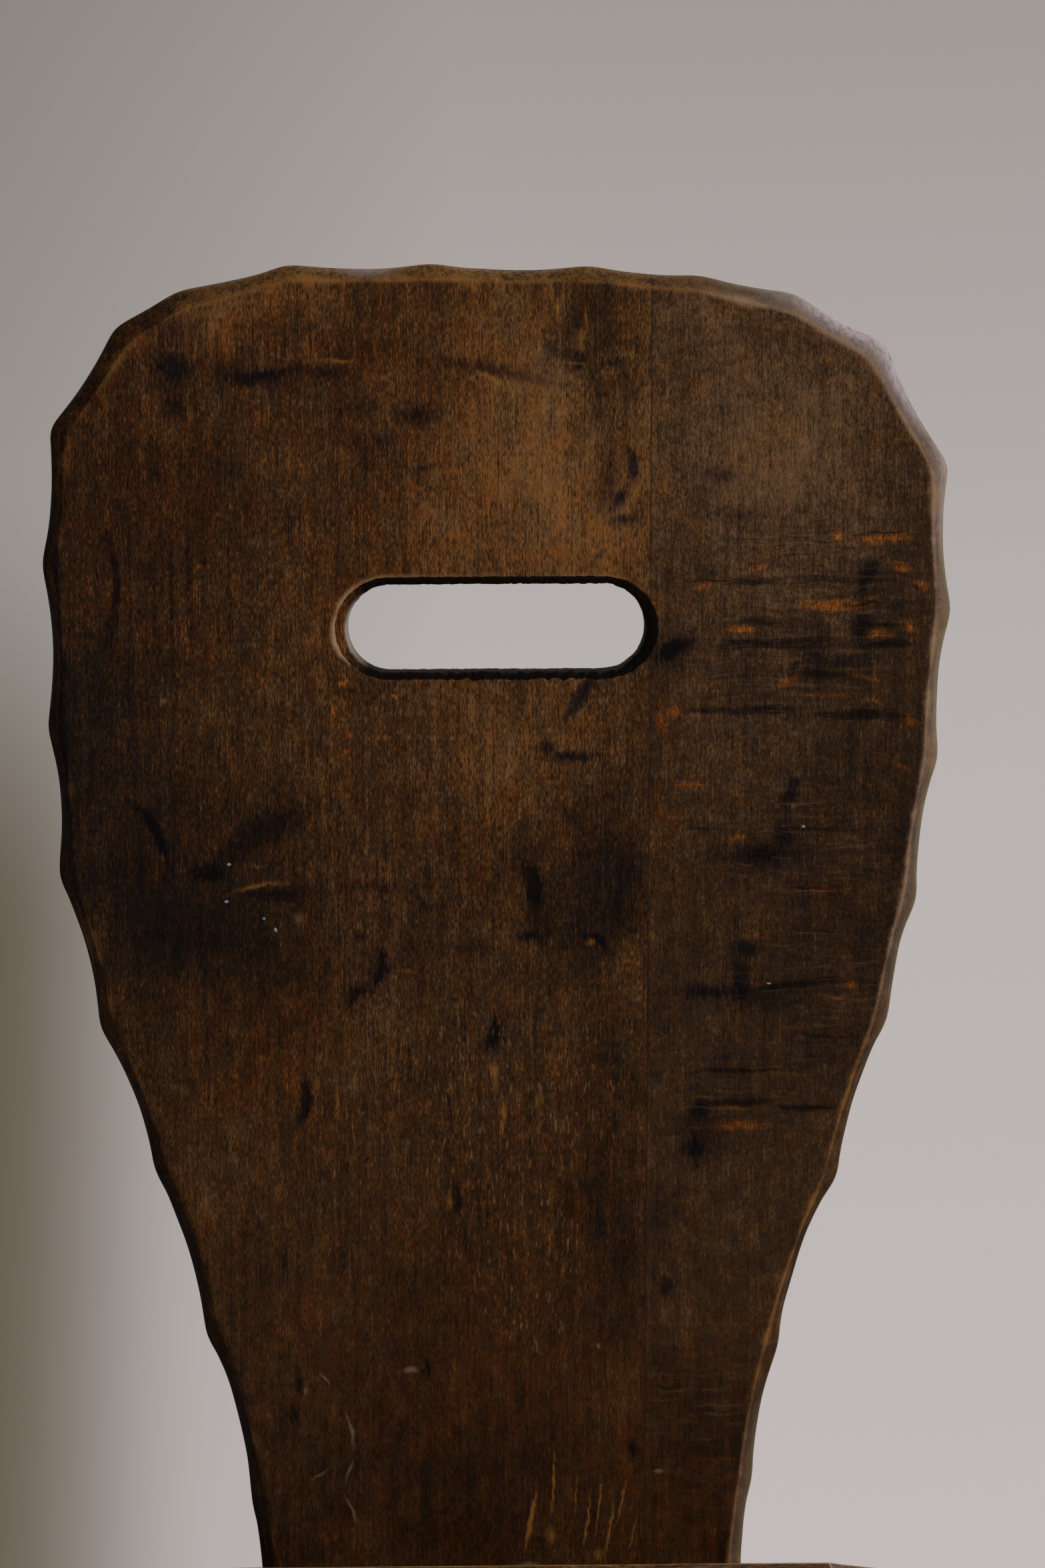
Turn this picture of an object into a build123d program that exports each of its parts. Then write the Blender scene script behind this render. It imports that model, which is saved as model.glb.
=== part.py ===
"""Alpine board-back chair in solid wood.

A seat glued from three staves is stiffened by two tapered battens in sliding dovetails.
Four splayed legs pass through battens and seat and are wedged from above. The leaning back
board, glued from two staves, drops through seat and battens on two tenons and is drawn
tight by a wooden key below each batten. All edges of seat and back are cut in shallow
scallops with a large-radius gouge, between two bevels.

Millimetres and degrees. X is across the seat (+X is the sitter's left), -Y is the front,
+Z is up. The floor is z = 0, and the origin is under the centre of the whole chair's box.
"""
from build123d import *
from math import cos, radians, sin, tan
import os

# ---- joints and fits ------------------------------------------------------------------
FIT_CLEARANCE = 0.15        # all round a tenon, leg or dovetail in its socket
GROOVE_HEADROOM = 0.3       # above a batten's tongue, where its groove bottoms out

# ---- seat -----------------------------------------------------------------------------
SEAT_HEIGHT = 445.0         # floor to the seat's top face
SEAT_THICKNESS = 28.0
SEAT_DEPTH = 380.0
SEAT_REAR_WIDTH = 256.0
SEAT_FRONT_WIDTH = 416.0
SEAT_REAR_CORNER = 30.0     # corner radii in plan
SEAT_FRONT_CORNER = 62.0
FRONT_STAVE_WIDTH = 138.0   # front to back; the middle stave takes what the other two leave
REAR_STAVE_WIDTH = 102.0
SEAT_FIRST_RIDGE = 6.0      # past the left rear corner's radius, where the scallops start

# ---- scalloped edges ------------------------------------------------------------------
GOUGE_RADIUS = 165.0        # sweep of the tool that cut each hollow
SCALLOP_PITCH = 52.0        # ridge to ridge round the seat
BEVEL_WIDTH = 5.5           # of the back's edge bevels, seen from the face
BEVEL_DEPTH = 5.0           # of the same bevels, through the thickness
SEAT_BEVEL_WIDTH = 4.5
SEAT_BEVEL_DEPTH = 4.5
RIDGE_INSET = 0.4           # how far a bevel's outer line lies inside the widest outline
ARRIS_HOLLOW = 0.45         # depth of the hollows along the face arris, against mid-edge
BEVEL_HOLLOW = 1.9          # the same along the bevel's outer line

# ---- back board -----------------------------------------------------------------------
BACK_RISE = 458.5           # from the seat's top face to the crown, up the slope
BACK_WIDTH = 316.0          # widest, at the shoulders
BACK_BASE_WIDTH = 169.5     # where it stands on the seat
BACK_THICKNESS = 25.0
BACK_LEAN = 18.0            # from upright, to the rear
BACK_SETBACK = 38.0         # seat's rear edge to the board's rear face
BACK_JOINT = 49.8           # glue line to the right of centre, at the seat
BACK_JOINT_TILT = 0.48      # the glue line runs outwards going up
SLOT_LENGTH = 104.0         # hand-hold, end to end
SLOT_HEIGHT = 31.0
SLOT_RISE = 332.6           # seat to the slot's centre, up the slope
SLOT_OFFSET = 0.4           # slot's centre to the left of centre
SLOT_ARRIS = 2.5            # rounding of the slot's rims

# Ridges between the hand-cut scallops. On the flanks: (share of the flare from base width
# to full width, share of the rise). On the crown: (share of half the width, share of rise).
LEFT_FLANK = [
    (0.055, 0.051), (0.265, 0.184), (0.505, 0.311), (0.753, 0.423),
    (0.938, 0.537), (0.982, 0.651), (1.000, 0.774), (0.951, 0.877),
]
CROWN = [
    (0.834, 0.952), (0.695, 0.980), (0.458, 0.999), (0.141, 1.000),
    (-0.198, 0.998), (-0.447, 0.990), (-0.654, 0.976), (-0.850, 0.939),
]
RIGHT_FLANK = [
    (0.982, 0.847), (0.997, 0.737), (0.940, 0.625), (0.842, 0.518),
    (0.700, 0.423), (0.459, 0.302), (0.179, 0.171), (0.056, 0.068),
]

# ---- back tenons and their keys -------------------------------------------------------
TENON_WIDTH = 28.0
TENON_CENTRE = 66.5         # each side of the chair's centre
TENON_SHOULDER = 2.5        # off each face of the board
TENON_ROOT = 10.0           # how far the tenon's bar reaches up into the board
TENON_PROUD = 40.0          # below the batten
TENON_CHAMFER = 2.0         # round the tenon's end
KEY_WIDTH = 9.0
KEY_LENGTH = 66.0
KEY_HEAD_HEIGHT = 22.0      # at the rear, where it is driven
KEY_TIP_HEIGHT = 14.0
KEY_HEAD_PROUD = 29.0       # behind the tenon
KEY_DRAW = 4.0              # room above the key in the tenon's mortise, hidden in the batten

# ---- battens --------------------------------------------------------------------------
BATTEN_WIDTH = 60.0         # at the rear tenon
BATTEN_HEIGHT = 20.0        # below the seat
BATTEN_TAPER = 0.8          # each flank turns in by this angle towards the front
BATTEN_CHAMFER = 4.0        # along the lower arrises
BATTEN_END_CHAMFER = 9.0    # under both ends
BATTEN_REAR_INSET = 9.0     # from the seat's rear edge
BATTEN_FRONT_INSET = 34.0   # from the seat's front edge
DOVETAIL_NECK = 44.0        # at the seat's underside
DOVETAIL_DEPTH = 10.0
DOVETAIL_ANGLE = 15.0

# ---- legs -----------------------------------------------------------------------------
FRONT_LEG_SETBACK = 78.0    # from the seat's front edge
FRONT_LEG_INSET = 100.0     # from the seat's widest, each side, at the seat's top
REAR_LEG_SETBACK = 135.0    # from the seat's rear edge
FRONT_SPLAY = 10.0          # outwards
FRONT_RAKE = 8.0            # forwards
REAR_SPLAY = 9.0
REAR_RAKE = 14.0            # backwards
LEG_SIDES = 8
LEG_NECK = 34.0             # across flats at the batten
LEG_SWELL = 42.0            # across flats at the thickest
LEG_SWELL_DROP = 165.0      # from the seat's top to the thickest, down the leg
LEG_FOOT = 27.0             # across flats at the floor
LEG_TENON_DIAMETER = 24.0
WEDGE_THICKNESS = 3.6       # at the seat's top face
WEDGE_TIP = 0.8
WEDGE_DEPTH = 26.0

# ---- worked out from the sizes above --------------------------------------------------
REAR_EDGE = SEAT_DEPTH / 2
SEAT_UNDERSIDE = SEAT_HEIGHT - SEAT_THICKNESS
BATTEN_UNDERSIDE = SEAT_UNDERSIDE - BATTEN_HEIGHT
REACH = SEAT_DEPTH + SEAT_FRONT_WIDTH + BACK_RISE    # of cutters, well past the chair
LEAN_SIN = sin(radians(BACK_LEAN))
LEAN_COS = cos(radians(BACK_LEAN))
TENON_THICKNESS = BACK_THICKNESS - 2 * TENON_SHOULDER
MIDDLE_STAVE_WIDTH = SEAT_DEPTH - FRONT_STAVE_WIDTH - REAR_STAVE_WIDTH
FRONT_JOINT_Y = FRONT_STAVE_WIDTH - REAR_EDGE               # glue lines of the seat
REAR_JOINT_Y = FRONT_JOINT_Y + MIDDLE_STAVE_WIDTH
FRONT_LEG_SPREAD = SEAT_FRONT_WIDTH / 2 - FRONT_LEG_INSET   # each side of the centre
FRONT_LEG_Y = FRONT_LEG_SETBACK - REAR_EDGE
REAR_LEG_Y = REAR_EDGE - REAR_LEG_SETBACK
# On the board's rear face: x to the sitter's left, y up the slope, z towards the front.
BACK_PLANE = Plane(
    origin=(0, REAR_EDGE - BACK_SETBACK, SEAT_HEIGHT),
    x_dir=(1, 0, 0),
    z_dir=(0, -LEAN_COS, LEAN_SIN),
)


def level_slab(low, high):
    """Cutter between two heights, wider than the chair."""
    return Pos(0, 0, (low + high) / 2) * Box(2 * REACH, 2 * REACH, high - low)


# ---- scalloped boards -----------------------------------------------------------------
def set_in(ridges, inset):
    """Each ridge moved inwards by inset, square to the outline. Ridges run anticlockwise."""
    moved = []
    for index, ridge in enumerate(ridges):
        along = (ridges[(index + 1) % len(ridges)] - ridges[index - 1]).normalized()
        moved.append(ridge + Vector(-along.Y, along.X) * inset)
    return moved


def scalloped_face(ridges, inset, hollow, flat_foot):
    """Face through the inset ridges, with one gouge-cut arc from each ridge to the next.

    The hollow scales each arc's depth. With flat_foot the side from the last ridge back to
    the first is straight and isn't moved.
    """
    points = set_in(ridges, inset)
    if flat_foot:
        points[0] = ridges[0] - Vector(inset, 0)
        points[-1] = ridges[-1] + Vector(inset, 0)
    edges = []
    for start, end in zip(points, points[1:] + points[:1]):
        if flat_foot and end is points[0]:
            edges.append(Line(start, end))
            continue
        chord = end - start
        depth = hollow * chord.length**2 / (8 * GOUGE_RADIUS)
        inwards = Vector(-chord.Y, chord.X).normalized()
        edges.append(ThreePointArc(start, (start + end) / 2 + inwards * depth, end))
    return make_face(edges)


def scalloped_board(ridges, thickness, bevel_width, bevel_depth, flat_foot=False):
    """Board on the XY plane with bevelled, scalloped edges, lofted through five outlines."""
    outlines = [
        (0, bevel_width, ARRIS_HOLLOW),
        (bevel_depth, RIDGE_INSET, BEVEL_HOLLOW),
        (thickness / 2, 0, 1.0),
        (thickness - bevel_depth, RIDGE_INSET, BEVEL_HOLLOW),
        (thickness, bevel_width, ARRIS_HOLLOW),
    ]
    sections = []
    for height, inset, hollow in outlines:
        outline = scalloped_face(ridges, inset, hollow, flat_foot)
        sections.append(Pos(0, 0, height) * outline)
    return loft(sections, ruled=True)


# ---- back board -----------------------------------------------------------------------
def back_ridges():
    """Ridge points of the back on BACK_PLANE, anticlockwise from the left foot."""
    base = BACK_BASE_WIDTH / 2
    flare = BACK_WIDTH / 2 - base
    foot = -BACK_THICKNESS * tan(radians(BACK_LEAN)) - TENON_SHOULDER
    points = [Vector(base, foot)]
    points += [Vector(base + flare * out, BACK_RISE * up) for out, up in LEFT_FLANK]
    points += [Vector(BACK_WIDTH / 2 * out, BACK_RISE * up) for out, up in CROWN]
    points += [Vector(-base - flare * out, BACK_RISE * up) for out, up in RIGHT_FLANK]
    points += [Vector(-base, foot)]
    return points


def tenon_bar(side, clearance=0.0):
    """Bar of the tenon on one side (+1 left, -1 right), grown by a clearance for its socket."""
    drop = (SEAT_HEIGHT - BATTEN_UNDERSIDE + TENON_PROUD) / LEAN_COS
    width = TENON_WIDTH + 2 * clearance
    thickness = TENON_THICKNESS + 2 * clearance
    bar = Box(width, TENON_ROOT + drop, thickness)
    if clearance == 0.0:
        bar = chamfer(bar.faces().sort_by(Axis.Y)[0].edges(), TENON_CHAMFER)
    centre = Pos(side * TENON_CENTRE, (TENON_ROOT - drop) / 2, BACK_THICKNESS / 2)
    return BACK_PLANE * centre * bar


def tenon_y(height):
    """Front-to-back place of the tenons' middle at a height above the floor."""
    middle = BACK_THICKNESS / 2
    up = (height - SEAT_HEIGHT - middle * LEAN_SIN) / LEAN_COS
    return REAR_EDGE - BACK_SETBACK + up * LEAN_SIN - middle * LEAN_COS


def back_key(side, width=KEY_WIDTH, headroom=0.0):
    """Tapered key under one batten, or with headroom the cutter for its mortise."""
    top = BATTEN_UNDERSIDE
    tenon_rear = tenon_y(top - KEY_HEAD_HEIGHT / 2) + TENON_THICKNESS / 2 / LEAN_COS
    head = tenon_rear + KEY_HEAD_PROUD
    tip = head - KEY_LENGTH
    x = side * TENON_CENTRE
    corners = [
        (x, head, top + headroom),
        (x, head, top - KEY_HEAD_HEIGHT),
        (x, tip, top - KEY_TIP_HEIGHT),
        (x, tip, top + headroom),
    ]
    return extrude(make_face(Polyline(corners, close=True)), width / 2, both=True)


def back_staves():
    """The two staves of the back with slot, tenons and key mortises: wide (left), narrow."""
    board = scalloped_board(
        back_ridges(), BACK_THICKNESS, BEVEL_WIDTH, BEVEL_DEPTH, flat_foot=True
    )
    slot_place = Pos(SLOT_OFFSET, SLOT_RISE, BACK_THICKNESS / 2)
    slot = extrude(SlotOverall(SLOT_LENGTH, SLOT_HEIGHT), BACK_THICKNESS, both=True)
    board -= slot_place * slot
    rims = []
    for face in (board.faces().sort_by(Axis.Z)[0], board.faces().sort_by(Axis.Z)[-1]):
        rims += face.inner_wires()[0].edges()
    board = fillet(rims, SLOT_ARRIS)
    board = BACK_PLANE * board
    board &= level_slab(SEAT_HEIGHT, SEAT_HEIGHT + REACH)

    half = Box(REACH, 2 * REACH, 2 * REACH, align=(Align.MIN, Align.CENTER, Align.CENTER))
    left_of_joint = BACK_PLANE * Pos(-BACK_JOINT, 0, 0) * Rot(0, 0, BACK_JOINT_TILT) * half
    staves = []
    for side, stave in ((1, board & left_of_joint), (-1, board - left_of_joint)):
        mortise = back_key(side, KEY_WIDTH + 2 * FIT_CLEARANCE, KEY_DRAW)
        staves.append(stave + (tenon_bar(side) - mortise))
    return staves


# ---- battens --------------------------------------------------------------------------
class BattenLine:
    """Centre line of the left batten: through the back tenon and the front leg."""

    rear = Vector(TENON_CENTRE, tenon_y(SEAT_UNDERSIDE))
    along = (Vector(FRONT_LEG_SPREAD, FRONT_LEG_Y) - rear).normalized()
    across = Vector(-along.Y, along.X)

    @classmethod
    def distance(cls, y):
        """Distance along the line from the back tenon to a front-to-back place."""
        return (y - cls.rear.Y) / cls.along.Y

    @classmethod
    def x_at(cls, y):
        """Sideways place of the line at a front-to-back place."""
        return cls.rear.X + cls.along.X * cls.distance(y)

    @classmethod
    def section(cls, distance, corners):
        """Upright face across the line, from corners given as (half width, height)."""
        point = cls.rear + cls.along * distance
        plane = Plane(
            origin=(point.X, point.Y, SEAT_UNDERSIDE),
            x_dir=cls.across,
            z_dir=cls.along,
        )
        narrower = distance * tan(radians(BATTEN_TAPER))
        right = [(half - narrower, height) for half, height in corners]
        left = [(-half, height) for half, height in reversed(right)]
        return plane * make_face(Polyline(right + left, close=True))


def tongue_half(height, clearance=0.0):
    """Half the width of the dovetail tongue at a height above the seat's underside."""
    flank = radians(DOVETAIL_ANGLE)
    return DOVETAIL_NECK / 2 + height * tan(flank) + clearance / cos(flank)


def batten():
    """Left batten: a tapered bar under the seat with a dovetail tongue on top."""
    half = BATTEN_WIDTH / 2
    corners = [
        (half - BATTEN_CHAMFER, -BATTEN_HEIGHT),
        (half, -BATTEN_HEIGHT + BATTEN_CHAMFER),
        (half, 0),
        (tongue_half(0), 0),
        (tongue_half(DOVETAIL_DEPTH), DOVETAIL_DEPTH),
    ]
    ends = (
        BattenLine.distance(REAR_EDGE - BATTEN_REAR_INSET),
        BattenLine.distance(BATTEN_FRONT_INSET - REAR_EDGE),
    )
    bar = loft([BattenLine.section(distance, corners) for distance in ends], ruled=True)
    lowest = bar.faces().sort_by(Axis.Z)[0]
    end_arrises = lowest.edges().sort_by(SortBy.LENGTH)[0:2]
    return chamfer(end_arrises, BATTEN_END_CHAMFER)


def dovetail_groove():
    """Cutter for the left batten's groove, open at the seat's rear edge."""
    below = -GROOVE_HEADROOM
    top = DOVETAIL_DEPTH + GROOVE_HEADROOM
    corners = [
        (tongue_half(below, FIT_CLEARANCE), below),
        (tongue_half(top, FIT_CLEARANCE), top),
    ]
    ends = (
        BattenLine.distance(REAR_EDGE + BACK_SETBACK),
        BattenLine.distance(BATTEN_FRONT_INSET - REAR_EDGE) + GROOVE_HEADROOM,
    )
    return loft([BattenLine.section(distance, corners) for distance in ends], ruled=True)


# ---- legs -----------------------------------------------------------------------------
class Leg:
    """One left leg: its axis through batten and seat, its socket, wedge and solid."""

    def __init__(self, y, splay, rake):
        """Set the leg's plane: origin on the seat's top face, z down the leg."""
        lean_out = tan(radians(splay))
        lean_back = tan(radians(rake))
        down = Vector(lean_out, lean_back, -1)
        self.length = SEAT_HEIGHT * down.length
        self.plane = Plane(
            origin=(BattenLine.x_at(y), y, SEAT_HEIGHT),
            x_dir=(1, 0, lean_out),
            z_dir=down,
        )

    def round_bar(self, radius, above, below):
        """Cylinder on the leg's axis, from above the seat's top face to below it."""
        height = above + below
        return self.plane * Pos(0, 0, (below - above) / 2) * Cylinder(radius, height)

    def socket(self):
        """Cutter for the hole through batten and seat."""
        radius = LEG_TENON_DIAMETER / 2 + FIT_CLEARANCE
        return self.round_bar(radius, SEAT_THICKNESS, self.length / 2)

    def octagon(self, drop, across):
        """Section of the leg at a distance down its axis."""
        shape = RegularPolygon(across / 2, LEG_SIDES, major_radius=False, rotation=180 / LEG_SIDES)
        return self.plane * Pos(0, 0, drop) * shape

    def wedge_blank(self, width):
        """Tapered slip across the tenon, thick end up, running past the seat's top face."""
        over = SEAT_THICKNESS
        taper = (WEDGE_THICKNESS - WEDGE_TIP) / WEDGE_DEPTH
        half_top = (WEDGE_THICKNESS + taper * over) / 2
        corners = [(half_top, 0, -over), (WEDGE_TIP / 2, 0, WEDGE_DEPTH)]
        corners += [(-x, y, z) for x, y, z in reversed(corners)]
        blank = extrude(make_face(Polyline(corners, close=True)), width / 2, both=True)
        return self.plane * blank

    def wedge(self):
        """The wedge as driven and cut flush with the seat."""
        tenon = self.round_bar(LEG_TENON_DIAMETER / 2, SEAT_THICKNESS, 2 * WEDGE_DEPTH)
        flush = level_slab(0, SEAT_HEIGHT)
        return self.wedge_blank(LEG_TENON_DIAMETER) & tenon & flush

    def solid(self):
        """The leg: a swelling octagon to the floor and a split round tenon through the seat."""
        over = LEG_SWELL
        foot_taper = (LEG_SWELL - LEG_FOOT) / (self.length - LEG_SWELL_DROP)
        sections = [
            self.octagon(SEAT_THICKNESS, LEG_NECK),
            self.octagon(LEG_SWELL_DROP, LEG_SWELL),
            self.octagon(self.length + over, LEG_FOOT - foot_taper * over),
        ]
        body = loft(sections, ruled=True) & level_slab(0, BATTEN_UNDERSIDE)
        tenon = self.round_bar(LEG_TENON_DIAMETER / 2, SEAT_THICKNESS, LEG_SWELL_DROP)
        tenon &= level_slab(0, SEAT_HEIGHT)
        return body + tenon - self.wedge_blank(2 * LEG_TENON_DIAMETER)


# ---- seat -----------------------------------------------------------------------------
def seat_ridges():
    """Ridge points of the seat in plan, evenly spaced, anticlockwise from the rear edge."""
    rear = SEAT_REAR_WIDTH / 2
    front = SEAT_FRONT_WIDTH / 2
    corners = [(rear, REAR_EDGE), (-rear, REAR_EDGE), (-front, -REAR_EDGE), (front, -REAR_EDGE)]
    radii = [SEAT_REAR_CORNER, SEAT_REAR_CORNER, SEAT_FRONT_CORNER, SEAT_FRONT_CORNER]
    guide = FilletPolyline(corners, radius=radii, close=True)
    first_ridge = (rear - SEAT_REAR_CORNER - SEAT_FIRST_RIDGE, REAR_EDGE)
    first = guide.param_at_point(first_ridge)
    count = round(guide.length / SCALLOP_PITCH)
    return [guide @ ((first + index / count) % 1) for index in range(count)]


def seat_staves(cutters):
    """Seat with all sockets cut, as its three staves: front, middle, rear."""
    seat = scalloped_board(seat_ridges(), SEAT_THICKNESS, SEAT_BEVEL_WIDTH, SEAT_BEVEL_DEPTH)
    seat = Pos(0, 0, SEAT_UNDERSIDE) * seat
    for cutter in cutters:
        seat -= cutter
    joints = [-REACH, FRONT_JOINT_Y, REAR_JOINT_Y, REACH]
    staves = []
    for front, rear in zip(joints, joints[1:]):
        strip = Pos(0, (front + rear) / 2, SEAT_HEIGHT) * Box(2 * REACH, rear - front, REACH)
        staves.append(seat & strip)
    return staves


# ---- assembly -------------------------------------------------------------------------
def both_sides(name, left):
    """A left-hand piece and its mirror image, under their names."""
    return {f"{name}_left": left, f"{name}_right": mirror(left, about=Plane.YZ)}


def build_chair():
    """All pieces by name, standing on the floor in the seat's own frame."""
    legs = {
        "front": Leg(FRONT_LEG_Y, FRONT_SPLAY, -FRONT_RAKE),
        "rear": Leg(REAR_LEG_Y, REAR_SPLAY, REAR_RAKE),
    }
    left_cutters = [leg.socket() for leg in legs.values()]
    left_cutters.append(tenon_bar(1, FIT_CLEARANCE))
    bar = batten()
    for cutter in left_cutters:
        bar -= cutter
    seat_cutters = []
    for cutter in left_cutters + [dovetail_groove()]:
        seat_cutters += [cutter, mirror(cutter, about=Plane.YZ)]

    pieces = dict(zip(("back_stave_wide", "back_stave_narrow"), back_staves()))
    staves = ("seat_stave_front", "seat_stave_middle", "seat_stave_rear")
    pieces.update(zip(staves, seat_staves(seat_cutters)))
    pieces.update(both_sides("batten", bar))
    pieces.update(both_sides("back_key", back_key(1)))
    for end, leg in legs.items():
        pieces.update(both_sides(f"leg_{end}", leg.solid()))
        pieces.update(both_sides(f"leg_wedge_{end}", leg.wedge()))
    return pieces


def centred(pieces):
    """The pieces moved front to back, so that the origin is under the chair's box."""
    boxes = [piece.bounding_box() for piece in pieces.values()]
    front = min(box.min.Y for box in boxes)
    rear = max(box.max.Y for box in boxes)
    shift = Pos(0, -(front + rear) / 2, 0)
    return {name: shift * piece for name, piece in pieces.items()}


os.makedirs("parts", exist_ok=True)
for node, shape in centred(build_chair()).items():
    export_step(shape, f"parts/{node}.step")
    print(f"{node}: {shape.volume / 1000:.1f} cm3")
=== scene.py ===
"""Looks of an Alpine board-back chair in dark stained hardwood.

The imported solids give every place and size. The back board is shaped anew, hollow by hollow,
with worn arrises and a torn slot rim. The other pieces are copies of their solids with eased
arrises. Sizes are in millimetres in the classes and in metres in the meshes.
"""

import logging
from collections.abc import Callable, Iterable
from dataclasses import dataclass, field, replace
from enum import Enum
from math import cos, pi, radians, sin, sqrt

import bmesh
import bpy
from bmesh.types import BMEdge, BMesh, BMFace, BMVert
from bpy.types import ID, Material, Mesh, Node, NodeSocket, NodeTree, Object, World
from mathutils import Matrix, Vector, noise


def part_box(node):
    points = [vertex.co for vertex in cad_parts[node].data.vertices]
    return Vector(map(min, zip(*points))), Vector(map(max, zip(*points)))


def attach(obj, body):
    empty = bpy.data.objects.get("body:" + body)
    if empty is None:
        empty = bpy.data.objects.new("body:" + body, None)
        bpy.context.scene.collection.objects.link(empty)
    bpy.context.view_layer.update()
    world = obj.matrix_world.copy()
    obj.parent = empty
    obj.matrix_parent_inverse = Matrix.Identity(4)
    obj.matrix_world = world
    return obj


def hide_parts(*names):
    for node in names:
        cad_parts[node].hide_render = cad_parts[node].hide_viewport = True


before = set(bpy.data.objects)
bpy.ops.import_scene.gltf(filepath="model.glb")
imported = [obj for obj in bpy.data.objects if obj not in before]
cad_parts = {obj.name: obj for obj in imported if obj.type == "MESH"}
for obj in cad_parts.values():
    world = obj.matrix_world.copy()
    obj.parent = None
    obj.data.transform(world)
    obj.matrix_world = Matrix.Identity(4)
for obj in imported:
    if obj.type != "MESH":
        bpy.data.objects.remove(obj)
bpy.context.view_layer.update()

MM = 0.001
BODY = "root"
Colour = tuple[float, float, float, float]
Triple = tuple[float, float, float]
Pairs = tuple[tuple[float, float], ...]
Rims = tuple[list[BMEdge], list[BMEdge]]
log = logging.getLogger("board_back_chair")

# What the points of a mesh carry for its finish: how rubbed they are, whether they lie on the
# board's edge, how deep in one of its hollows, and how dark they are for grime and painted shade.
ARRIS, EDGE, HOLLOW, GRIME_AND_SHADE = "arris", "edge", "hollow", "grime_and_shade"
MEASURES = (ARRIS, EDGE, HOLLOW, GRIME_AND_SHADE)
WHITE: Colour = (1.0, 1.0, 1.0, 1.0)


def hand_tint(red: int, green: int, blue: int) -> Colour:
    """Turn a colour's usual values, from 0 to 255, into the linear ones that a shader takes.

    Args:
        red: how red it is.
        green: how green it is.
        blue: how blue it is.

    Returns:
        The linear colour, opaque.
    """
    shares = [level / 255 for level in (red, green, blue)]
    linear = [share / 12.92 if share < 0.04 else ((share + 0.055) / 1.055) ** 2.4 for share in shares]
    return (linear[0], linear[1], linear[2], 1.0)


# ---- shader wiring ----------------------------------------------------------------------
class Socket(Enum):
    """Kinds of socket that a group of effects takes and gives."""

    VALUE = "NodeSocketFloat"
    COLOUR = "NodeSocketColor"
    VECTOR = "NodeSocketVector"


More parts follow.
